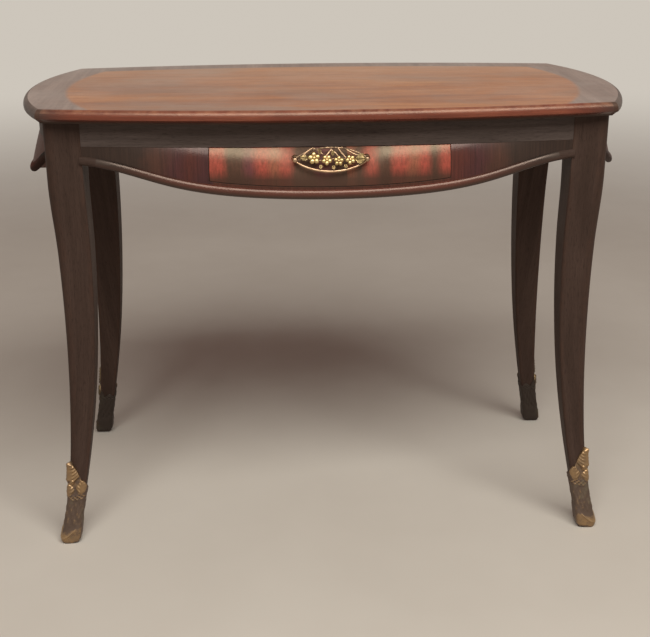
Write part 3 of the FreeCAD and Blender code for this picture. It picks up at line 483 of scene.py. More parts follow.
def setGrain(mesh, uvs):
    corner = np.empty(len(mesh.loops), dtype=np.int32)
    mesh.loops.foreach_get("vertex_index", corner)
    layer = mesh.uv_layers.new(name="grain")
    layer.data.foreach_set("uv", np.asarray(uvs, dtype=np.float32)[corner].ravel())


def setMarks(mesh, marks):
    for mark, amounts in marks.items():
        amounts = np.asarray(amounts, dtype=np.float32)
        turned = amounts.ndim == 2
        attribute = mesh.attributes.new(mark, "FLOAT_VECTOR" if turned else "FLOAT", "POINT")
        attribute.data.foreach_set("vector" if turned else "value", amounts.ravel())


def addObject(name, data):
    made = bpy.data.objects.new(name, data)
    bpy.context.scene.collection.objects.link(made)
    return made


def addPiece(name, points, faces, material, uvs=None, marks=None, sharpAngle=38):
    mesh = bpy.data.meshes.new(name)
    mesh.from_pydata([tuple(point) for point in points], [], faces)
    if uvs is not None:
        setGrain(mesh, uvs)
    setMarks(mesh, marks or {})
    mesh.shade_smooth()
    mesh.set_sharp_from_angle(angle=math.radians(sharpAngle))
    mesh.materials.append(material)
    return addObject(name, mesh)


def seat(piece, body, slot, *replaced):
    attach(piece, body)
    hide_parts(*replaced)


def quads(rows, columns, wrapRows=False, wrapColumns=False):
    # cells of a grid whose points are counted row by row
    return [[row * columns + column, (row + 1) % rows * columns + column,
             (row + 1) % rows * columns + (column + 1) % columns, row * columns + (column + 1) % columns]
            for row in range(rows - (not wrapRows)) for column in range(columns - (not wrapColumns))]


def tubeFaces(rings, around):
    # a closed stack of rings, capped at both ends
    walls = [[cell[0], *reversed(cell[1:])] for cell in quads(rings, around, wrapColumns=True)]
    return walls + [list(reversed(range(around))), [(rings - 1) * around + step for step in range(around)]]


def slabFaces(columns, rows, keep):
    # front grid, back grid and a wall along every open edge of the kept cells
    count, faces, edges = columns * rows, [], {}
    for ring, kept in zip(quads(columns, rows), keep.ravel()):
        if kept:
            faces += [ring, [count + corner for corner in reversed(ring)]]
            edges.update(dict.fromkeys(zip(ring, ring[1:] + ring[:1])))
    for first, second in edges:
        if (second, first) not in edges:
            faces.append([second, first, count + first, count + second])
    return faces


easedEdge = {"width": 0.0004, "segments": 2, "angle": math.radians(50)}


def slabPiece(name, side, along, heights, frontOut, backOut, material, keep=None):
    # along and heights are grids of columns by rows; the faces stand out from the middle of the table
    columns, rows = along.shape
    keep = np.ones((columns - 1, rows - 1), dtype=bool) if keep is None else keep
    points = np.concatenate([toWorld(side["turn"], along, out, heights).reshape(-1, 3)
                             for out in (frontOut, backOut)])
    uvs = np.tile(np.stack([along.ravel(), heights.ravel()], axis=-1), (2, 1))
    faces = slabFaces(columns, rows, keep)
    used = sorted({corner for face in faces for corner in face})
    order = {old: new for new, old in enumerate(used)}
    faces = [[order[corner] for corner in face] for face in faces]
    piece = addPiece(name, points[used], faces, material, uvs[used])
    eased = piece.modifiers.new("easedEdges", "BEVEL")
    eased.width, eased.segments = easedEdge["width"], easedEdge["segments"]
    eased.limit_method, eased.angle_limit = "ANGLE", easedEdge["angle"]
    return piece


# edge mouldings of the top: one profile along four bowed edges, mitred at the corners
moulding = {"width": 0.034, "noseReach": 0.0090, "noseDrop": 0.0115, "noseEnd": -15, "flatGap": 0.003,
            "veneerEnd": 0.0078, "cove": (0.0056, 0.0174), "coveEnd": 0.0095, "columns": 121, "noseSteps": 16,
            "coveSteps": 8, "redCove": 4, "darkEnd": 0.011, "wearAndHighlightAbove": 0.7545, "grainShift": 1.7}


def cornerAt(inset):
    # where the moved-in front arc meets the moved-in end arc
    first, second = np.array([0.0, frontRadius - halfDepth]), np.array([halfLength - endRadius, 0.0])
    near, far = frontRadius - inset, endRadius - inset
    gap = np.linalg.norm(second - first)
    reach = (near ** 2 - far ** 2 + gap ** 2) / (2 * gap)
    line = (second - first) / gap
    aside = math.sqrt(near ** 2 - reach ** 2) * np.array([-line[1], line[0]])
    meets = [first + reach * line + sign * aside for sign in (1, -1)]
    return max(meets, key=lambda point: point[0] - point[1])


def mouldingProfile():
    # flat, a round at the edge and a cove that falls back under it
    top, reach, drop = carcase["height"], moulding["noseReach"], moulding["noseDrop"]
    points = [(moulding["width"], top), (reach + moulding["flatGap"], top)]
    for angle in np.radians(np.linspace(90, moulding["noseEnd"], moulding["noseSteps"])):
        points.append((reach * (1 - math.cos(angle)), top - drop * (1 - math.sin(angle))))
    start, bend = points[-1], (moulding["cove"][0], top - moulding["cove"][1])
    end = (moulding["coveEnd"], topUnder)
    for share in np.linspace(0, 1, moulding["coveSteps"] + 1)[1:]:
        points.append(tuple((1 - share) ** 2 * a + 2 * share * (1 - share) * b + share ** 2 * c
                            for a, b, c in zip(start, bend, end)))
    return points + [(moulding["width"], topUnder)]


profile = mouldingProfile()
profileRun = np.concatenate([[0], np.cumsum([math.dist(a, b) for a, b in zip(profile, profile[1:])])])
veneerRings = sum(inset >= moulding["veneerEnd"] for inset, height in profile[:moulding["noseSteps"]]) - 1
roundRings = moulding["noseSteps"] + 1 + moulding["redCove"]
columns, rings = moulding["columns"], len(profile)
for sideName, side in sides.items():
    turn, radius = side["turn"], side["radius"]
    points, uvs, edges = [], [], []
    for (inset, height), run in zip(profile, profileRun):
        limit = math.asin(abs(cornerAt(inset)[turn % 2]) / (radius - inset))
        angles = np.linspace(-limit, limit, columns)
        out = (radius - inset) * np.cos(angles) - (radius - side["span"])
        points.append(toWorld(turn, (radius - inset) * np.sin(angles), out, height))
        uvs.append(np.stack([radius * angles + turn * moulding["grainShift"], np.full(columns, run)], axis=-1))
        # the upper round of the nose is marked for wear, whose pale colour also paints a highlight there
        edges.append(np.full(columns, float(inset < moulding["veneerEnd"] and height > moulding["wearAndHighlightAbove"])))
    faces = quads(rings, columns, wrapRows=True)
    faces.append([ring * columns for ring in reversed(range(rings))])
    faces.append([ring * columns + columns - 1 for ring in range(rings)])
    piece = addPiece(f"topMoulding_{sideName}", np.concatenate(points), faces,
                     endEdge if turn % 2 else edgeWood, np.concatenate(uvs), {"edge": np.concatenate(edges)})
    # the veneer of the top runs out over the flat, and the cove and the corners get darker woods as painted
    # shade
    for material in (topVeneer, darkWood, endEdge):
        piece.data.materials.append(material)
    for polygon in piece.data.polygons[:rings * (columns - 1)]:
        ring = polygon.index // (columns - 1)
        if ring < veneerRings:
            polygon.material_index = 1
        elif ring > roundRings:
            polygon.material_index = 2
        elif abs(polygon.center.x) > cornerX - moulding["darkEnd"]:
            polygon.material_index = 3
    seat(piece, "table", "edge_wood", f"top_moulding_{sideName}")
print("mouldings made")

# legs: rounded square sections as height, set in or out, and width
leg = {
    "sections": [(0.003, -0.0240, 0.0280), (0.025, -0.0210, 0.0280), (0.080, -0.0105, 0.0280),
                 (0.150, -0.0030, 0.0330), (0.250, 0.0035, 0.0408), (0.3904, 0.0070, 0.0492),
                 (0.5191, 0.0055, 0.0548), (0.640, 0.0, 0.0590)],
    "outerRound": 0.014, "arris": 0.004, "sharper": (0.60, 0.66), "sharpening": 0.85, "rings": 96,
    "topRings": 9, "sidePoints": 9, "outerPoints": 14, "arrisPoints": 6, "outerWear": 0.75,
    "grainShift": (1.3, 0.4),
}


def legCurve(height, column):
    # smooth curve through the sections, with slopes from the neighbouring sections
    marks, amounts = (np.array([section[entry] for section in leg["sections"]]) for entry in (0, column))
    slopes = np.gradient(amounts, marks)
    slopes[-1] = 0.0
    height = np.clip(height, marks[0], marks[-1])
    low = np.clip(np.searchsorted(marks, height, side="right") - 1, 0, len(marks) - 2)
    gap = marks[low + 1] - marks[low]
    t = (height - marks[low]) / gap
    return ((2 * t ** 3 - 3 * t ** 2 + 1) * amounts[low] + (t ** 3 - 2 * t ** 2 + t) * gap * slopes[low]
            + (3 * t ** 2 - 2 * t ** 3) * amounts[low + 1] + (t ** 3 - t ** 2) * gap * slopes[low + 1])


def legRing(look):
    # one turn of the section as corner number, angle, and share of the side that follows
    steps = []
    for number, points in enumerate(("arrisPoints", "outerPoints", "arrisPoints", "arrisPoints")):
        start, count, across = math.radians(180 + 90 * number), look[points], look["sidePoints"]
        steps += [(number, start + math.pi / 2 * step / (count - 1), None) for step in range(count)]
        steps += [(number, start + math.pi / 2, step / across) for step in range(1, across)]
    return steps


def legPoint(step, height):
    # place and outward direction on the front right leg, for an array of heights
    number, angle, share = step
    inward, width = legCurve(height, 1), legCurve(height, 2)
    centreX, centreY = legX - inward - width / 2, -(legY - inward) + width / 2
    direction = np.array([math.cos(angle), math.sin(angle)])

    def onCorner(which):
        signX, signY = ((-1, -1), (1, -1), (1, 1), (-1, 1))[which]
        rounding = leg["arris"] * (1 - leg["sharpening"] * smoothStep(*leg["sharper"], height))
        if which == 1:
            rounding = leg["outerRound"] * width / carcase["legWidth"]
        return (centreX + signX * (width / 2 - rounding) + rounding * direction[0],
                centreY + signY * (width / 2 - rounding) + rounding * direction[1])

    x, y = onCorner(number)
    if share is not None:
        nextX, nextY = onCorner((number + 1) % 4)
        x, y = x + share * (nextX - x), y + share * (nextY - y)
    return x, y, direction


def mirrored(points, faces, signX, signY):
    points = np.asarray(points) * np.array([signX, signY, 1])
    return points, ([face[::-1] for face in faces] if signX * signY < 0 else faces)


legSteps = legRing(leg)
legHeights = np.concatenate([np.linspace(leg["sections"][0][0], flank, leg["rings"]),
                             np.linspace(flank, topUnder, leg["topRings"])[1:]])
around, rings = len(legSteps), len(legHeights)
legGrid, legMarks = np.zeros((rings, around, 3)), np.zeros((rings, around))
for place, step in enumerate(legSteps):
    x, y, direction = legPoint(step, legHeights)
    legGrid[:, place] = np.stack([x, y, legHeights], axis=-1)
    if step[2] is None:
        legMarks[:, place] = leg["outerWear"] if step[0] == 1 else 1.0
legFaces = tubeFaces(rings, around)
girth = np.pad(np.cumsum(np.linalg.norm(np.diff(legGrid, axis=1), axis=-1), axis=1), ((0, 0), (1, 0)))
for number, (corner, signs) in enumerate(corners.items()):
    points, faces = mirrored(legGrid.reshape(-1, 3), legFaces, *signs)
    uvs = np.stack([np.repeat(legHeights, around), girth.ravel()], axis=-1)
    uvs = uvs + number * np.array(leg["grainShift"])
    piece = addPiece(f"leg_{corner}_turned", points, faces, darkWood, uvs, {"edge": legMarks.ravel()})
    seat(piece, "table", "dark_wood", f"leg_{corner}")
print("legs made")

# rails and swelling aprons between the legs
panels = {"columns": 97, "rows": 25, "railRows": 5, "lowRows": 6, "openingHalf": 0.190, "stripHeight": 0.014,
          "plainStrip": 0.012, "leastStrip": 0.001, "drawerGap": 0.0006, "drawerColumns": 77,
          "fullness": 1.12, "sway": 0.07, "lipFacing": 0.7}


def lowerEdge(along, half, lift=0.0):
    # an arc, flattened towards the legs and fuller in the belly
    droop = carcase["beadMidDrop"] - carcase["beadEndDrop"] - lift
    share = np.clip(bowRise(along, half, droop) / droop, 0, 1)
    return beadEnd - droop * (share ** panels["fullness"] - panels["sway"] * np.sin(2 * math.pi * share))


def gateEdge(along):
    # lower edge of the drawer's opening, parallel to the bead
    return lowerEdge(along, innerX) + panels["stripHeight"]


opening = panels["openingHalf"]
for sideName, side in sides.items():
    half, face, atFront = side["half"], side["face"], sideName == "front"
    alongLine = np.linspace(-half, half, panels["columns"])
    if atFront:
        alongLine = np.sort(np.concatenate([alongLine, [-opening, opening]]))
    backFace = face - carcase["panelThickness"]
    along, heights = np.meshgrid(alongLine, np.linspace(railUnder, topUnder, panels["railRows"]), indexing="ij")
    railOut = face + bowRise(along, half, swellAt(railUnder, side["swell"]))
    rail = slabPiece(f"rail_{sideName}_bowed", side, along, heights, railOut, backFace, litRailWood)
    seat(rail, "table", "dark_wood", f"rail_{sideName}")

    low = lowerEdge(alongLine, half, side["lift"])
    gate = low + panels["plainStrip"]
    if atFront:
        gate = np.maximum(gateEdge(alongLine), low + panels["leastStrip"])
    lowShares = np.linspace(0, 1, panels["lowRows"])
    highShares = np.linspace(0, 1, panels["rows"])[1:]
    heights = np.concatenate([low[:, None] + (gate - low)[:, None] * lowShares,
                              gate[:, None] + (railUnder - gate)[:, None] * highShares], axis=1)
    along = np.repeat(alongLine[:, None], heights.shape[1], axis=1)
    out = face + bowRise(along, half, swellAt(heights, side["swell"], side["straight"]))
    keep = np.ones((len(alongLine) - 1, heights.shape[1] - 1), dtype=bool)
    if atFront:
        keep[np.abs(alongLine[1:] + alongLine[:-1]) / 2 < opening, len(lowShares) - 1:] = False
    apron = slabPiece(f"apron_{sideName}_swelling", side, along, heights, out, backFace,
                      panelVeneer if atFront else flankVeneer, keep)
    # eased edges and the lip under the drawer stay dull
    apron.data.materials.append(darkWood)
    apron.modifiers["easedEdges"].material = 1
    for polygon in apron.data.polygons:
        polygon.material_index = int(polygon.normal.z > panels["lipFacing"])
    seat(apron, "table", "dark_wood", f"apron_{sideName}")

front, drawerHalf = sides["front"], opening - panels["drawerGap"]
alongLine = np.linspace(-drawerHalf, drawerHalf, panels["drawerColumns"])
low = gateEdge(alongLine) + panels["drawerGap"]
shares = np.linspace(0, 1, panels["rows"])
heights = low[:, None] + (railUnder - panels["drawerGap"] - low)[:, None] * shares
along = np.repeat(alongLine[:, None], len(shares), axis=1)
drawerOut = front["face"] + bowRise(along, front["half"], swellAt(heights, front["swell"]))
drawerFront = slabPiece("drawerFront_swelling", front, along, heights, drawerOut, front["face"], stripedVeneer)
seat(drawerFront, "drawer", "striped_veneer", "drawer_front")
print("rails, aprons and drawer front made")


# geometry node trees

def newShaper(name, inputs):
    return newTree(name, "GeometryNodeTree", {"Geometry": "Geometry", **inputs, "Material": "Material"},
                   {"Geometry": "Geometry"})


def pointMark(tree, name, kind="FLOAT"):
    return addNode(tree, "GeometryNodeInputNamedAttribute", {"Name": name}, data_type=kind).outputs[0]


def endShaper(tree, geometry, material, given):
    smooth = addNode(tree, "GeometryNodeSetShadeSmooth", {"Geometry": geometry}).outputs[0]
    real = addNode(tree, "GeometryNodeRealizeInstances", {"Geometry": smooth}).outputs[0]
    painted = addNode(tree, "GeometryNodeSetMaterial", {"Geometry": real, "Material": material}).outputs[0]
    tree.links.new(painted, given["Geometry"])


# a round rod along a line of points, as thick as each point says
rodTree, taken, given = newShaper("taperedRod", {"Sides": "Int", "Thickness": "Float"})
line = addNode(rodTree, "GeometryNodeMeshToCurve", {"Mesh": taken["Geometry"]}).outputs[0]
ringShape = addNode(rodTree, "GeometryNodeCurvePrimitiveCircle", {
    "Resolution": taken["Sides"], "Radius": 1.0}).outputs[0]
rod = addNode(rodTree, "GeometryNodeCurveToMesh", {
    "Curve": line, "Profile Curve": ringShape, "Fill Caps": True,
    "Scale": times(rodTree, pointMark(rodTree, "girth"), taken["Thickness"])}).outputs[0]
endShaper(rodTree, rod, taken["Material"], given)

# copies of one small cast form, each turned and sized as its point says
sprayTree, taken, given = newShaper("castSpray", {
    "Form": "Object", "Size": "Float", "Unevenness": "Float", "Seed": "Int"})
form = addNode(sprayTree, "GeometryNodeObjectInfo", {"Object": taken["Form"]}).outputs["Geometry"]
uneven = addNode(sprayTree, "FunctionNodeRandomValue", {
    2: calc(sprayTree, "SUBTRACT", 1.0, taken["Unevenness"]),
    3: calc(sprayTree, "ADD", 1.0, taken["Unevenness"]), "Seed": taken["Seed"]}, data_type="FLOAT").outputs[1]
spraySize = times(sprayTree, times(sprayTree, pointMark(sprayTree, "girth"), taken["Size"]), uneven)
spray = addNode(sprayTree, "GeometryNodeInstanceOnPoints", {
    "Points": taken["Geometry"], "Instance": form, "Scale": spraySize,
    "Rotation": pointMark(sprayTree, "turn", "FLOAT_VECTOR")}).outputs[0]
endShaper(sprayTree, spray, taken["Material"], given)


def runTree(name, points, links, marks, tree, entries):
    mesh = bpy.data.meshes.new(name + "_guide")
    mesh.from_pydata([tuple(point) for point in points], links, [])
    setMarks(mesh, marks)
    guide = addObject(name + "_guide", mesh)
    modifier = guide.modifiers.new("shape", "NODES")
    modifier.node_group = tree
    sockets = {item.name: item.identifier for item in tree.interface.items_tree if item.in_out == "INPUT"}
    for label, entry in entries.items():
        modifier[sockets[label]] = entry
    shaped = bpy.data.meshes.new_from_object(guide.evaluated_get(bpy.context.evaluated_depsgraph_get()))
    shaped.name = name
    bpy.data.objects.remove(guide)
    return addObject(name, shaped)


# round beads under the aprons
bead = {"endGirth": 0.0054, "midGirth": 0.0060, "endSink": 0.0006, "points": 121, "sides": 20,
        "upper": 1.65, "under": (-0.75, 0.40), "darkEnd": 0.027, "grainShift": 0.37}
for sideName, side in sides.items():
    half, turn = side["half"], side["turn"]
    along = np.linspace(-half, half, bead["points"])
    heights = lowerEdge(along, half, side["lift"])
    swelling = swellAt(heights, side["swell"], side["straight"])
    out = side["face"] - bead["endSink"] + bowRise(along, half, swelling)
    share = np.clip((beadEnd - heights) / (beadEnd - beadMid), 0, 1)
    girths = bead["endGirth"] + (bead["midGirth"] - bead["endGirth"]) * np.sqrt(share)
    piece = runTree(f"bead_{sideName}_round", toWorld(turn, along, out, heights),
                    [(step, step + 1) for step in range(len(along) - 1)], {"girth": girths}, rodTree,
                    {"Sides": bead["sides"], "Thickness": 1.0,
                     "Material": beadWood if sideName == "front" else dullBeadWood})
    spots = np.array([vertex.co for vertex in piece.data.vertices])
    runs = (spots[:, 0], spots[:, 1], -spots[:, 0], -spots[:, 1])[turn]
    # taller above its middle than below it, with painted shade underneath
    middles = np.interp(runs, along, heights)
    spots[:, 2] = middles + (spots[:, 2] - middles) * np.where(spots[:, 2] > middles, bead["upper"], 1.0)
    depths = (middles - spots[:, 2]) / np.interp(runs, along, girths)
    setMarks(piece.data, {"under": smoothStep(*bead["under"], depths)})
    piece.data.vertices.foreach_set("co", spots.ravel())
    piece.data.update()
    setGrain(piece.data, np.stack([runs + bead["grainShift"] * turn, spots[:, 2]], axis=-1))
    if sideName == "front":
        # painted shade: the ends take the dark wood, as dark as the legs beside them
        piece.data.materials.append(darkWood)
        for polygon in piece.data.polygons:
            polygon.material_index = int(abs(polygon.center.x) > half - bead["darkEnd"])
    seat(piece, "table", "edge_wood", f"bead_{sideName}")
print("beads made")

# cast shoes: leaves over a bound stem and a flared toe, in millimetres round the foot and up it
shoe = {
    "rows": 150, "sidePoints": 30, "outerPoints": 34, "arrisPoints": 8, "wall": 1.7, "seat": 0.4,
    "leaf": {"tip": 150.0, "wide": 124.0, "foot": 110.0, "at": 0.0, "half": 14.5, "relief": 4.4, "drop": 26.0},
    "lobe": {"tip": 109.0, "wide": 98.0, "foot": 88.0, "at": 0.0, "half": 8.5, "relief": 3.0},
    "flank": {"tip": 116.0, "wide": 103.0, "foot": 90.0, "at": 20.0, "half": 10.0, "relief": 2.5, "drop": 16.0},
    "back": {"tip": 97.0, "wide": 92.0, "foot": 86.0, "at": 43.0, "half": 11.0, "relief": 2.0, "drop": 10.0},
    "tipCurl": 2.6, "curlFrom": 134.0, "rim": 84.0, "rimEase": (2.2, 0.7), "rib": 0.40, "lobeDepth": 0.24,
    "lobeGap": 6.5, "eye": 113.0, "bind": (78.0, 87.0), "bindRelief": 0.5, "hatch": 0.9, "cord": 7.2,
    "stem": (28.0, 78.0), "stemRelief": 0.7, "toeTop": 26.0, "toeRelief": 1.6, "ridge": 2.0, "ridgeAt": 9.0,
    "tuck": 2.4, "soleRise": 4.5, "level": 0.080, "base": 0.010, "dull": (23.0, 33.0), "dulling": 0.9,
}


def wave(distance, length):
    return np.cos(2 * math.pi * distance / length)


def shoeTop(aside):
    tops = [look["tip"] - look["drop"] * np.minimum(np.abs(aside - look["at"]) / look["half"], 3.0) ** 1.35
            for look in (shoe["leaf"], shoe["flank"], shoe["back"])]
    return np.maximum(np.max(tops, axis=0), shoe["rim"])


def castLeaf(aside, up, look):
    # crowned leaf between its foot and tip, with a rib and slanting lobes
    tip, wide, foot, half = look["tip"], look["wide"], look["foot"], look["half"]
    offset = aside - look["at"]
    upper = half * np.clip((tip - up) / (tip - wide), 0.02, 1.0) ** 0.74
    lower = half * (0.5 + 0.5 * smoothStep(foot, wide, up))
    spread = np.abs(offset) / np.where(up > wide, upper, lower)
    body = np.sqrt(np.clip(1 - spread ** 2, 0, 1)) * smoothStep(foot - 5, foot + 3, up)
    lobes = wave(up - 0.9 * np.abs(offset), shoe["lobeGap"]) * smoothStep(0.1, 0.45, spread)
    return look["relief"] * body * (1 + shoe["rib"] * bump(offset, 1.2) + shoe["lobeDepth"] * lobes)


def shoeRelief(around, up):
    # how far the casting stands out, and how brightly it is gilded
    aside = np.abs(around)
    main = castLeaf(aside, up, shoe["leaf"])
    leaves = main + shoe["tipCurl"] * smoothStep(shoe["curlFrom"], shoe["leaf"]["tip"], up) * (main > 0)
    for name in ("lobe", "flank", "back"):
        leaves = np.maximum(leaves, castLeaf(aside, up, shoe[name]))
    # relief and gilding are lost towards the inner sides
    outward = 1 - shoe["dulling"] * smoothStep(*shoe["dull"], aside)
    leaves = leaves * outward
    eye = np.hypot(around, up - shoe["eye"])
    eyeRim = 0.9 * bump(eye - 5.0, 1.5) - 2.2 * bump(eye, 3.2)
    bindLow, bindHigh = shoe["bind"]
    hatch = np.maximum(wave(around + up, shoe["cord"]), wave(around - up, shoe["cord"]))
    banded = smoothStep(bindLow - 1, bindLow + 2, up) * (1 - smoothStep(bindHigh - 2, bindHigh + 1, up))
    rings = shoe["bindRelief"] * (bump(up - bindHigh, 1.5) + bump(up - bindLow, 1.5))
    stemLow, stemHigh = shoe["stem"]
    stem = smoothStep(stemLow, stemLow + 8, up) * (1 - smoothStep(stemHigh - 8, stemHigh, up))
    streaks = 0.5 * wave(around - 0.35 * up, 9.5) + 0.4 * wave(around + 0.22 * up, 6.1)
    toe = 1 - smoothStep(shoe["toeTop"] - 12, shoe["toeTop"] + 2, up - 0.25 * aside)
    ridge = bump(up - shoe["ridgeAt"] - 0.8 * aside, 1.7) * (1 - smoothStep(15, 22, aside))
    depth = shoe["wall"] + leaves + eyeRim + rings + shoe["hatch"] * hatch * banded
    depth = depth + shoe["stemRelief"] * stem * streaks + shoe["toeRelief"] * toe + shoe["ridge"] * ridge
    depth = depth - shoe["tuck"] * (1 - smoothStep(0, 6, up))
    gilding = np.clip(leaves / 4.2, 0, 1) + 0.5 * eyeRim + 0.75 * smoothStep(0.2, 0.9, hatch) * banded
    gilding = gilding + 0.2 * rings + 0.36 * smoothStep(bindHigh - 1, bindHigh + 4, up)
    gilding = gilding + stem * (0.25 + 0.14 * streaks) + 0.56 * toe + 0.5 * ridge
    gilding = gilding - 0.2 * (1 - smoothStep(0, 5, up))
    return depth, np.clip(gilding * outward, 0, 1)


shoeSteps = legRing(shoe)
ground = np.array([[entry[0] for entry in legPoint(step, np.array([shoe["level"]]))[:2]] for step in shoeSteps])
walk = np.concatenate([[0], np.cumsum(np.linalg.norm(np.diff(ground, axis=0), axis=1))])
total = walk[-1] + np.linalg.norm(ground[0] - ground[-1])
outerMarks = [place for place, step in enumerate(shoeSteps) if step[0] == 1 and step[2] is None]
middle = (walk[outerMarks[0]] + walk[outerMarks[-1]]) / 2
walk = ((walk - middle + total / 2) % total - total / 2) * 1000
rims = shoeTop(np.abs(walk))
shares = np.linspace(0, 1, shoe["rows"])
around, rings = len(shoeSteps), shoe["rows"] + 2
shoeGrid, shoeMarks = np.zeros((rings, around, 3)), np.zeros((rings, around))
easeReach, easing = shoe["rimEase"]
for place, step in enumerate(shoeSteps):
    sole = shoe["soleRise"] * smoothStep(8, 32, abs(walk[place]))
    up = sole + (rims[place] - sole) * shares
    x, y, direction = legPoint(step, up / 1000)
    depth, gilding = shoeRelief(np.full_like(up, walk[place]), up - sole)
    lift = depth * (1 - easing * (1 - np.clip((rims[place] - up) / easeReach, 0, 1)) ** 2) / 1000
    shoeGrid[:-2, place] = np.stack([x + direction[0] * lift, y + direction[1] * lift, up / 1000], axis=-1)
    shoeMarks[:-2, place] = gilding
    # the inside lies just under the leg's surface
    for row, height in ((-2, (rims[place] - shoe["seat"]) / 1000), (-1, shoe["base"])):
        x, y, direction = legPoint(step, np.array([height]))
        inner = direction * shoe["seat"] / 1000
        shoeGrid[row, place] = (x[0] - inner[0], y[0] - inner[1], height)
shoeFaces = tubeFaces(rings, around)
for corner, signs in corners.items():
    points, faces = mirrored(shoeGrid.reshape(-1, 3), shoeFaces, *signs)
    bronze = giltBronze if signs[1] > 0 else dullBronze
    piece = addPiece(f"shoe_{corner}_cast", points, faces, bronze, None, {"relief": shoeMarks.ravel()}, 60)
    seat(piece, "table", "gilt_bronze", f"shoe_{corner}")
print("shoes made")

# the pull: two thin stems drawn together at their ends, a twig of blossoms between, and two posts
# blossoms are x, y, out, size; leaves x, y, out, turn, size; knobs x, y, radius; posts offset, radius, gilding
pull = {
    "centre": (0.0, -0.2547, 0.6818), "tilt": math.radians(22.3), "half": 0.056, "rise": 0.0185, "out": 0.0012,
    "stems": [(1, 0.0015, 0.42), (-1, 0.0021, 0.95)], "twigGirth": 0.0013, "stalkSway": 0.0018, "sides": 14,
    "blossoms": [(-0.0265, 0.002, 0.0026, 0.0098), (-0.007, -0.0012, 0.003, 0.0086),
                 (0.0115, -0.003, 0.003, 0.0086), (0.0295, -0.0012, 0.0026, 0.0084)],
    "leaves": [(0.037, 0.0, 0.0012, -4, 0.018), (0.04, 0.0015, 0.002, 24, 0.013),
               (0.04, -0.0015, 0.002, -32, 0.013), (-0.036, 0.002, 0.0012, 176, 0.015),
               (-0.017, 0.008, 0.0008, 100, 0.009), (0.002, 0.006, 0.0008, 78, 0.009),
               (-0.016, -0.008, 0.0008, -100, 0.0085), (0.003, -0.009, 0.0008, -84, 0.0085),
               (0.021, -0.008, 0.0008, -62, 0.0085)],
    "twigs": [[(-0.045, 0.004), (-0.037, 0.013), (-0.028, 0.0182), (-0.02, 0.014), (-0.013, 0.008)],
              [(-0.008, 0.005), (0.0, 0.015), (0.008, 0.009), (0.011, 0.004)],
              [(0.011, 0.0172), (0.016, 0.01), (0.023, 0.002)],
              [(0.024, 0.015), (0.033, 0.009), (0.042, 0.006)]],
    "knobs": [(0.017, 0.018, 0.0022), (-0.028, 0.018, 0.0016), (0.0, 0.0155, 0.0015)],
    "posts": [(-0.0042, 0.0004, 0.8), (-0.004, 0.0022, 0.8), (-0.0032, 0.0034, 0.8), (-0.0018, 0.0041, 0.8),
              (0.0, 0.0042, 0.8), (0.0022, 0.0038, 0.8), (0.004, 0.0028, 0.35), (0.0066, 0.0028, 0.35),
              (0.008, 0.0036, 0.7), (0.0092, 0.005, 0.7), (0.0104, 0.0056, 0.7), (0.016, 0.0056, 0.7)],
    "leafLean": -12, "blossomTurns": [23, 54, 85, 116], "seed": 7, "unevenness": 0.06, "steps": 49,
    "stemReach": 1.02, "bow": 0.8, "stalkRelief": 0.35, "twigRelief": 0.7, "knobRelief": 0.9, "knobSwing": 84,
}
pullAcross = Vector((1, 0, 0))
pullUp = Vector((0, math.sin(pull["tilt"]), math.cos(pull["tilt"])))
pullOut = Vector((0, -math.cos(pull["tilt"]), math.sin(pull["tilt"])))


def onPull(x, y, z):
    return Vector(pull["centre"]) + pullAcross * x + pullUp * y + pullOut * z


def turnOnPull(degrees, lean=0.0):
    axes = Matrix((pullAcross, pullUp, pullOut)).transposed()
    turned = axes @ Matrix.Rotation(math.radians(degrees), 3, "Z") @ Matrix.Rotation(math.radians(lean), 3, "Y")
    return tuple(turned.to_euler())


rodPoints, rodLinks, rodGirths, rodRelief = [], [], [], []


def addRod(points, girths, relief):
    first = len(rodPoints)
    rodPoints.extend(points)
    rodGirths.extend(np.broadcast_to(girths, len(points)))
    rodRelief.extend(np.broadcast_to(relief, len(points)))
    rodLinks.extend((first + step, first + step + 1) for step in range(len(points) - 1))


steps = np.linspace(-1, 1, pull["steps"])
for sign, stemGirth, stemRelief in pull["stems"]:
    rises = sign * pull["rise"] * (1 - steps * steps) ** pull["bow"]
    addRod([onPull(pull["half"] * pull["stemReach"] * step, rise, pull["out"] * sign)
            for step, rise in zip(steps, rises)],
           stemGirth * (0.7 + 0.3 * np.cos(steps * 1.4)), stemRelief)
addRod([onPull(pull["half"] * step, pull["stalkSway"] * math.sin(7 * step), 0.0) for step in steps],
       pull["twigGirth"], pull["stalkRelief"])
for twig in pull["twigs"]:
    along = np.linspace(0, len(twig) - 1, 6 * len(twig))
    across, rise = (np.interp(along, range(len(twig)), [point[axis] for point in twig]) for axis in (0, 1))
    addRod([onPull(x, y, pull["out"]) for x, y in zip(across, rise)],
           pull["twigGirth"] * (1.1 - 0.4 * along / along[-1]), pull["twigRelief"])
swing = np.radians(np.linspace(-pull["knobSwing"], pull["knobSwing"], 11))
for x, y, size in pull["knobs"]:
    addRod([onPull(x, y, pull["out"]) + pullOut * (size * math.sin(angle)) for angle in swing],
           size * np.cos(swing), pull["knobRelief"])
offsets, postGirths, postRelief = zip(*pull["posts"])
for sign in (1, -1):
    foot = onPull(sign * pull["half"], 0, 0)
    addRod([foot + Vector((0, offset, 0)) for offset in offsets], postGirths, postRelief)
stems = runTree("pullStems", rodPoints, rodLinks, {"girth": rodGirths, "relief": rodRelief}, rodTree,
                {"Sides": pull["sides"], "Thickness": 1.0, "Material": stemGilt})
seat(stems, "drawer", "gilt_bronze", "drawer_pull")


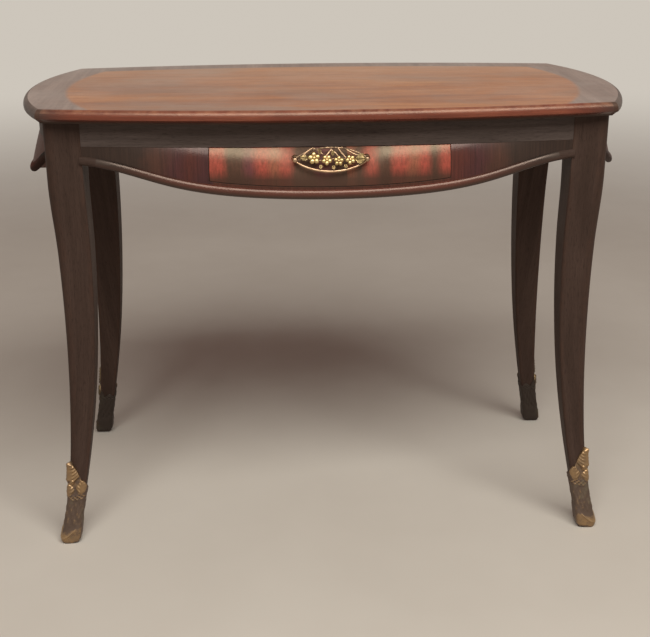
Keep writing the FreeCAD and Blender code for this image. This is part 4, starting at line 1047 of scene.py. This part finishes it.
def castPetal(across=11, along=15, thickness=0.07):
    # a thin closed leaf, one unit long, crowned, with a groove down its middle and a waving edge
    v, u = np.meshgrid(np.linspace(-1, 1, across), np.linspace(0, 1, along), indexing="ij")
    half = 0.03 + 0.27 * np.sin(math.pi * u ** 0.8) * (1 + 0.16 * np.cos(7 * math.pi * u))
    crown = 0.10 * (1 - v * v) * np.sin(math.pi * u) - 0.07 * bump(v, 0.16) + 0.05 * np.abs(v) ** 3
    front = np.stack([u, v * half, crown + 0.22 * u * u], axis=-1).reshape(-1, 3)
    faces = slabFaces(across, along, np.ones((across - 1, along - 1), dtype=bool))
    relief = (0.55 - 0.3 * bump(v, 0.16) + 0.2 * np.cos(14 * math.pi * u)).ravel()
    return (np.concatenate([front, front - np.array([0, 0, thickness])]), [face[::-1] for face in faces],
            np.concatenate([relief, relief * 0.4]))


def castBall(place, radii, spin, relief, rings=8, spokes=12):
    # a closed round lobe, flattened to its radii and turned round the middle of the blossom
    swing = [math.pi * ring / rings for ring in range(1, rings)]
    turns = [2 * math.pi * spoke / spokes for spoke in range(spokes)]
    points = np.array([(math.sin(a) * math.cos(t), math.sin(a) * math.sin(t), math.cos(a))
                       for a in swing for t in turns])
    points = (points * np.array(radii) + np.array(place)) @ np.array(Matrix.Rotation(spin, 3, "Z")).T
    faces = quads(rings - 1, spokes, wrapColumns=True)
    faces += [list(range(spokes)), [(rings - 2) * spokes + spoke for spoke in reversed(range(spokes))]]
    return points, faces, np.full(len(points), relief)


def makeForm(name, parts):
    faces, base = [], 0
    for points, partFaces, relief in parts:
        faces += [[base + corner for corner in face] for face in partFaces]
        base += len(points)
    points, relief = (np.concatenate([part[entry] for part in parts]) for entry in (0, 2))
    return addPiece(name, points, faces, pullGilt, None, {"relief": relief}, 70)


petals = [castBall((0.56, 0, 0.08 * (number % 2)), (0.46, 0.42, 0.30), 2 * math.pi * number / 5, 0.95)
          for number in range(5)]
blossomForm = makeForm("blossomForm", petals + [castBall((0, 0, 0.26), (0.30, 0.30, 0.24), 0, 0.6)])
leafForm = makeForm("leafForm", [castPetal()])
for name, spots, castForm, turns in (
        ("pullBlossoms", pull["blossoms"], blossomForm, [turnOnPull(turn) for turn in pull["blossomTurns"]]),
        ("pullLeaves", pull["leaves"], leafForm,
         [turnOnPull(spot[3], pull["leafLean"]) for spot in pull["leaves"]])):
    piece = runTree(name, [onPull(*spot[:3]) for spot in spots], [],
                    {"girth": [spot[-1] for spot in spots], "turn": turns}, sprayTree,
                    {"Form": castForm, "Size": 1.0, "Unevenness": pull["unevenness"], "Seed": pull["seed"],
                     "Material": pullGilt})
    seat(piece, "drawer", "gilt_bronze", "drawer_pull")
    bpy.data.objects.remove(castForm)
print("pull made")

# finishes of the pieces that keep their solid shape
keptFinish = (
    (topVeneer, ["top_field", "top_border_left", "top_border_right"]),
    (innerWood, ["top_core", "drawer_back", "drawer_bottom", "drawer_stops", "glue_blocks"]),
    (innerWoodDeep, [f"{part}_{hand}" for part in ("drawer_side", "runner", "guide", "kicker")
                     for hand in ("left", "right")]),
    (giltBronze, ["shoe_pins"]),
    (steel, ["top_screws", "pull_bolts", "pull_nuts"]),
)
for material, names in keptFinish:
    for name in names:
        nodes[name].data.materials.clear()
        nodes[name].data.materials.append(material)
print("kept solids finished")

# floor, light and camera
studio = {
    "floorHalf": 40.0, "floorColour": (0.700, 0.680, 0.630), "floorShade": (0.640, 0.615, 0.565),
    "floorRoughness": (0.75, 0.9), "paleColour": (0.610, 0.562, 0.496), "paleReach": (1.4, 5.2),
    "worldColour": (0.880, 0.560, 0.475), "worldLevel": 0.158,
    "keyPlace": (0.38, -2.14, 3.08), "keyAim": (0.0, -0.05, 0.60), "keySize": (3.5, 1.6), "keyPower": 119.0,
    "keyColour": (1.0, 0.95, 0.86),
    "cameraPlace": (-0.0984, -1.9591, 1.0550), "yaw": 0.0514, "pitch": 0.3566, "roll": -0.0044,
    "lens": 61.87, "sensor": 36.0, "clipEnd": 200.0,
}


def showPale(tree, kind, plain, output, amount=1.0):
    # what the camera, gloss and glass see goes over to the plain pale colour
    path = addNode(tree, "ShaderNodeLightPath").outputs
    looking = calc(tree, "MAXIMUM", path["Is Camera Ray"], path["Is Glossy Ray"])
    looking = calc(tree, "MAXIMUM", looking, path["Is Transmission Ray"])
    pale = addNode(tree, kind, {"Color": studio["paleColour"], "Strength": 1.0})
    mixed = addNode(tree, "ShaderNodeMixShader", {
        0: times(tree, looking, amount), 1: plain.outputs[0], 2: pale.outputs[0]})
    tree.links.new(mixed.outputs[0], tree.nodes[output].inputs["Surface"])


floorMaterial, tree, shader = newMaterial("paleFloor")
floorPlace = objectPlace(tree)
patchy = remap(tree, noise(tree, floorPlace, 1.4, 4.0), 0.35, 0.65)
feed(tree, shader, {
    "Base Color": mixColour(tree, patchy, studio["floorColour"], studio["floorShade"]),
    "Roughness": remap(tree, noise(tree, floorPlace, 18.0, 4.0), 0.3, 0.7, *studio["floorRoughness"])})
distant = remap(tree, vectorCalc(tree, "LENGTH", floorPlace), *studio["paleReach"], kind="SMOOTHSTEP")
showPale(tree, "ShaderNodeEmission", shader, "Material Output", distant)
reach = studio["floorHalf"]
floor = addPiece("floor", [(-reach, -reach, 0), (reach, -reach, 0), (reach, reach, 0), (-reach, reach, 0)],
                 [[0, 1, 2, 3]], floorMaterial)

world = bpy.data.worlds.new("paleStudio")
bpy.context.scene.world = world
world.use_nodes = True
ambient = world.node_tree.nodes["Background"]
feed(world.node_tree, ambient, {"Color": studio["worldColour"], "Strength": studio["worldLevel"]})
showPale(world.node_tree, "ShaderNodeBackground", ambient, "World Output")

lamp = bpy.data.lights.new("keyLight", "AREA")
lamp.shape = "RECTANGLE"
lamp.size, lamp.size_y = studio["keySize"]
lamp.energy, lamp.color = studio["keyPower"], studio["keyColour"]
key = addObject("keyLight", lamp)
key.location = studio["keyPlace"]
key.rotation_mode = "QUATERNION"
key.rotation_quaternion = (Vector(studio["keyAim"]) - Vector(studio["keyPlace"])).to_track_quat("-Z", "Y")

yaw, pitch, roll = studio["yaw"], studio["pitch"], studio["roll"]
forward = Vector((math.sin(yaw) * math.cos(pitch), math.cos(yaw) * math.cos(pitch), -math.sin(pitch)))
level = Vector((math.cos(yaw), -math.sin(yaw), 0))
upward = level.cross(forward)
rightward = level * math.cos(roll) + upward * math.sin(roll)
upright = upward * math.cos(roll) - level * math.sin(roll)
cameraData = bpy.data.cameras.new("camera")
cameraData.sensor_width, cameraData.lens = studio["sensor"], studio["lens"]
cameraData.clip_end = studio["clipEnd"]
camera = addObject("camera", cameraData)
camera.location = studio["cameraPlace"]
camera.rotation_mode = "QUATERNION"
camera.rotation_quaternion = Matrix((rightward, upright, -forward)).transposed().to_quaternion()
bpy.context.scene.camera = camera
bpy.context.scene.view_settings.view_transform = "Standard"
print("studio set")
